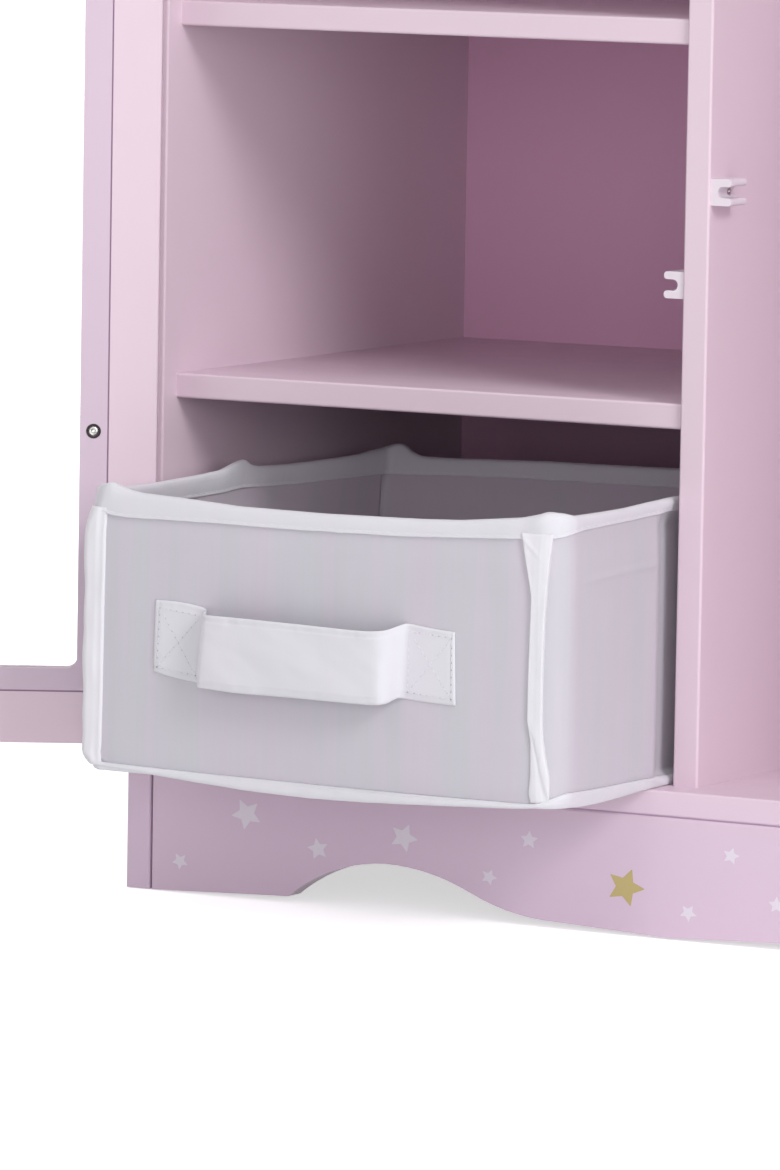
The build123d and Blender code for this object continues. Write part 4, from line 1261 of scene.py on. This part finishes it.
def add_retainer_joint(side):
    """A strip round the window retainer, sunk in the open joint beside it, in darker paint that is painted
    shade.
    """
    facing = window_facing(side)
    axes = np.array([np.cross(facing, UP), facing, UP])
    points = node_points(side + "_door_retainer")
    origin = points.mean(axis=0)
    places = (points - origin) @ axes.T
    face = places[:, 1].max() - RETAINER_JOINT_SUNK
    reach, tall = np.abs(places[:, 0]).max(), np.abs(places[:, 2]).max()
    far, end = reach + RETAINER_JOINT_WIDE, tall + RETAINER_JOINT_WIDE
    parts = []
    for left, low, right, high in ((-far, -end, far, -tall), (-far, tall, far, end),
                                   (-far, -tall, -reach, tall), (reach, -tall, far, tall)):
        corners, faces = bar((left, face - RETAINER_JOINT_DEEP, low), (right, face, high))
        parts.append((origin + corners @ axes, faces))
    add_piece(side + "_retainer_joint_shade", *join_parts(parts), [JOINT_SHADE_LOOK], side + "_door",
              "painted_board", smooth=False)


# Screws of the window retainers

HEAD_TALL = 1.4
HEAD_OUTLINE = ((2.6, 0.0), (2.6, 0.35), (2.48, 0.72), (2.2, 1.04), (1.85, 1.27), (1.5, 1.38))
SHANK_RADIUS = 1.2
HEX_REACH = 1.25
HEX_FLOOR = 0.5
BORE_RADIUS = 3.5
BORE_DEEP = 1.6
BORE_WALL = 0.15
SCREW_SIDES = 24
SCREW_REACH = 20.0


def loose_groups(node, reach):
    """The points of a node's separate solids, told apart by their distance."""
    groups = []
    for place in node_points(node):
        for group in groups:
            if np.linalg.norm(group[0] - place) < reach:
                group.append(place)
                break
        else:
            groups.append([place])
    return [np.array(group) for group in groups]


def thin_axis(node):
    """The direction in which a flat node is thinnest."""
    points = node_points(node)
    return np.linalg.svd(points - points.mean(axis=0), full_matrices=False)[2][2]


def window_facing(side):
    """The direction in which a door's retainer faces, away from its pane."""
    out = thin_axis(side + "_door_pane")
    retainer, pane = [node_points(side + kind).mean(axis=0) for kind in ("_door_retainer", "_door_pane")]
    return out if (retainer - pane) @ out > 0 else -out


def turned(outline, place, out, hexagonal=()):
    """A closed turned form from (radius, height) rows. Rows listed as hexagonal take a hexagon's plan."""
    hexagon = 1 / np.cos((turns(SCREW_SIDES) + math.pi / 6) % (math.pi / 3) - math.pi / 6)
    points = []
    for number, (radius, height) in enumerate(outline):
        reach = radius * hexagon if number in hexagonal else radius
        points.append(place + out * height + reach * ring(out, SCREW_SIDES))
    return np.concatenate(points), capped_faces(len(outline), SCREW_SIDES)


def add_retainer_screws(side):
    """Domed socket screws, and a near-black cup in each screw's bore, painted shade of the deep hole."""
    node = side + "_retainer_screws"
    out = thin_axis(side + "_door_pane")
    axes = np.array([out, np.cross(out, UP), UP])
    screws, bore_shades = [], []
    for group in loose_groups(node, SCREW_REACH):
        places = group @ axes.T
        middle = (places.min(axis=0) + places.max(axis=0)) / 2 @ axes
        along = (group - middle) @ out
        aside = np.linalg.norm((group - middle) - along[:, None] * out, axis=1)
        facing = out if along[aside > 2.0].mean() > 0 else -out
        half = np.abs(along).max()
        seat = middle + facing * (half - HEAD_TALL)
        outline = [(SHANK_RADIUS, HEAD_TALL - 2 * half), (SHANK_RADIUS, 0.0), *HEAD_OUTLINE,
                   (HEX_REACH, HEAD_TALL), (HEX_REACH, HEX_FLOOR)]
        screws.append(turned(outline, seat, facing, (len(outline) - 2, len(outline) - 1)))
        cup = [(BORE_RADIUS, 0.02), (BORE_RADIUS, BORE_DEEP), (BORE_RADIUS - BORE_WALL, BORE_DEEP),
               (BORE_RADIUS - BORE_WALL, 0.12), (HEAD_OUTLINE[0][0] + 0.05, 0.12)]
        bore_shades.append(turned(cup, seat, facing))
    piece = add_piece(side + "_retainer_screw_heads", *join_parts(screws), [LOOKS["steel"]],
                      side + "_door", "steel")
    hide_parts(node)
    add_piece(side + "_retainer_bore_shade_rings", *join_parts(bore_shades), [BORE_SHADE_LOOK],
              side + "_door", "painted_board")


add_camera()
add_world()
for light in LIGHTS:
    add_light(*light)
add_floor()
dress_cad_nodes()
add_stars()
add_bin_walls()
add_bin_floor()
add_rim_binding()
add_rim_stitches()
add_foot_binding()
add_front_hem()
add_corner_ribbons()
add_handle()
add_patch_stitches()
add_skirt_joint()
for side in ("left", "right"):
    add_retainer_joint(side)
    add_retainer_screws(side)

bpy.context.scene.view_settings.view_transform = "Standard"
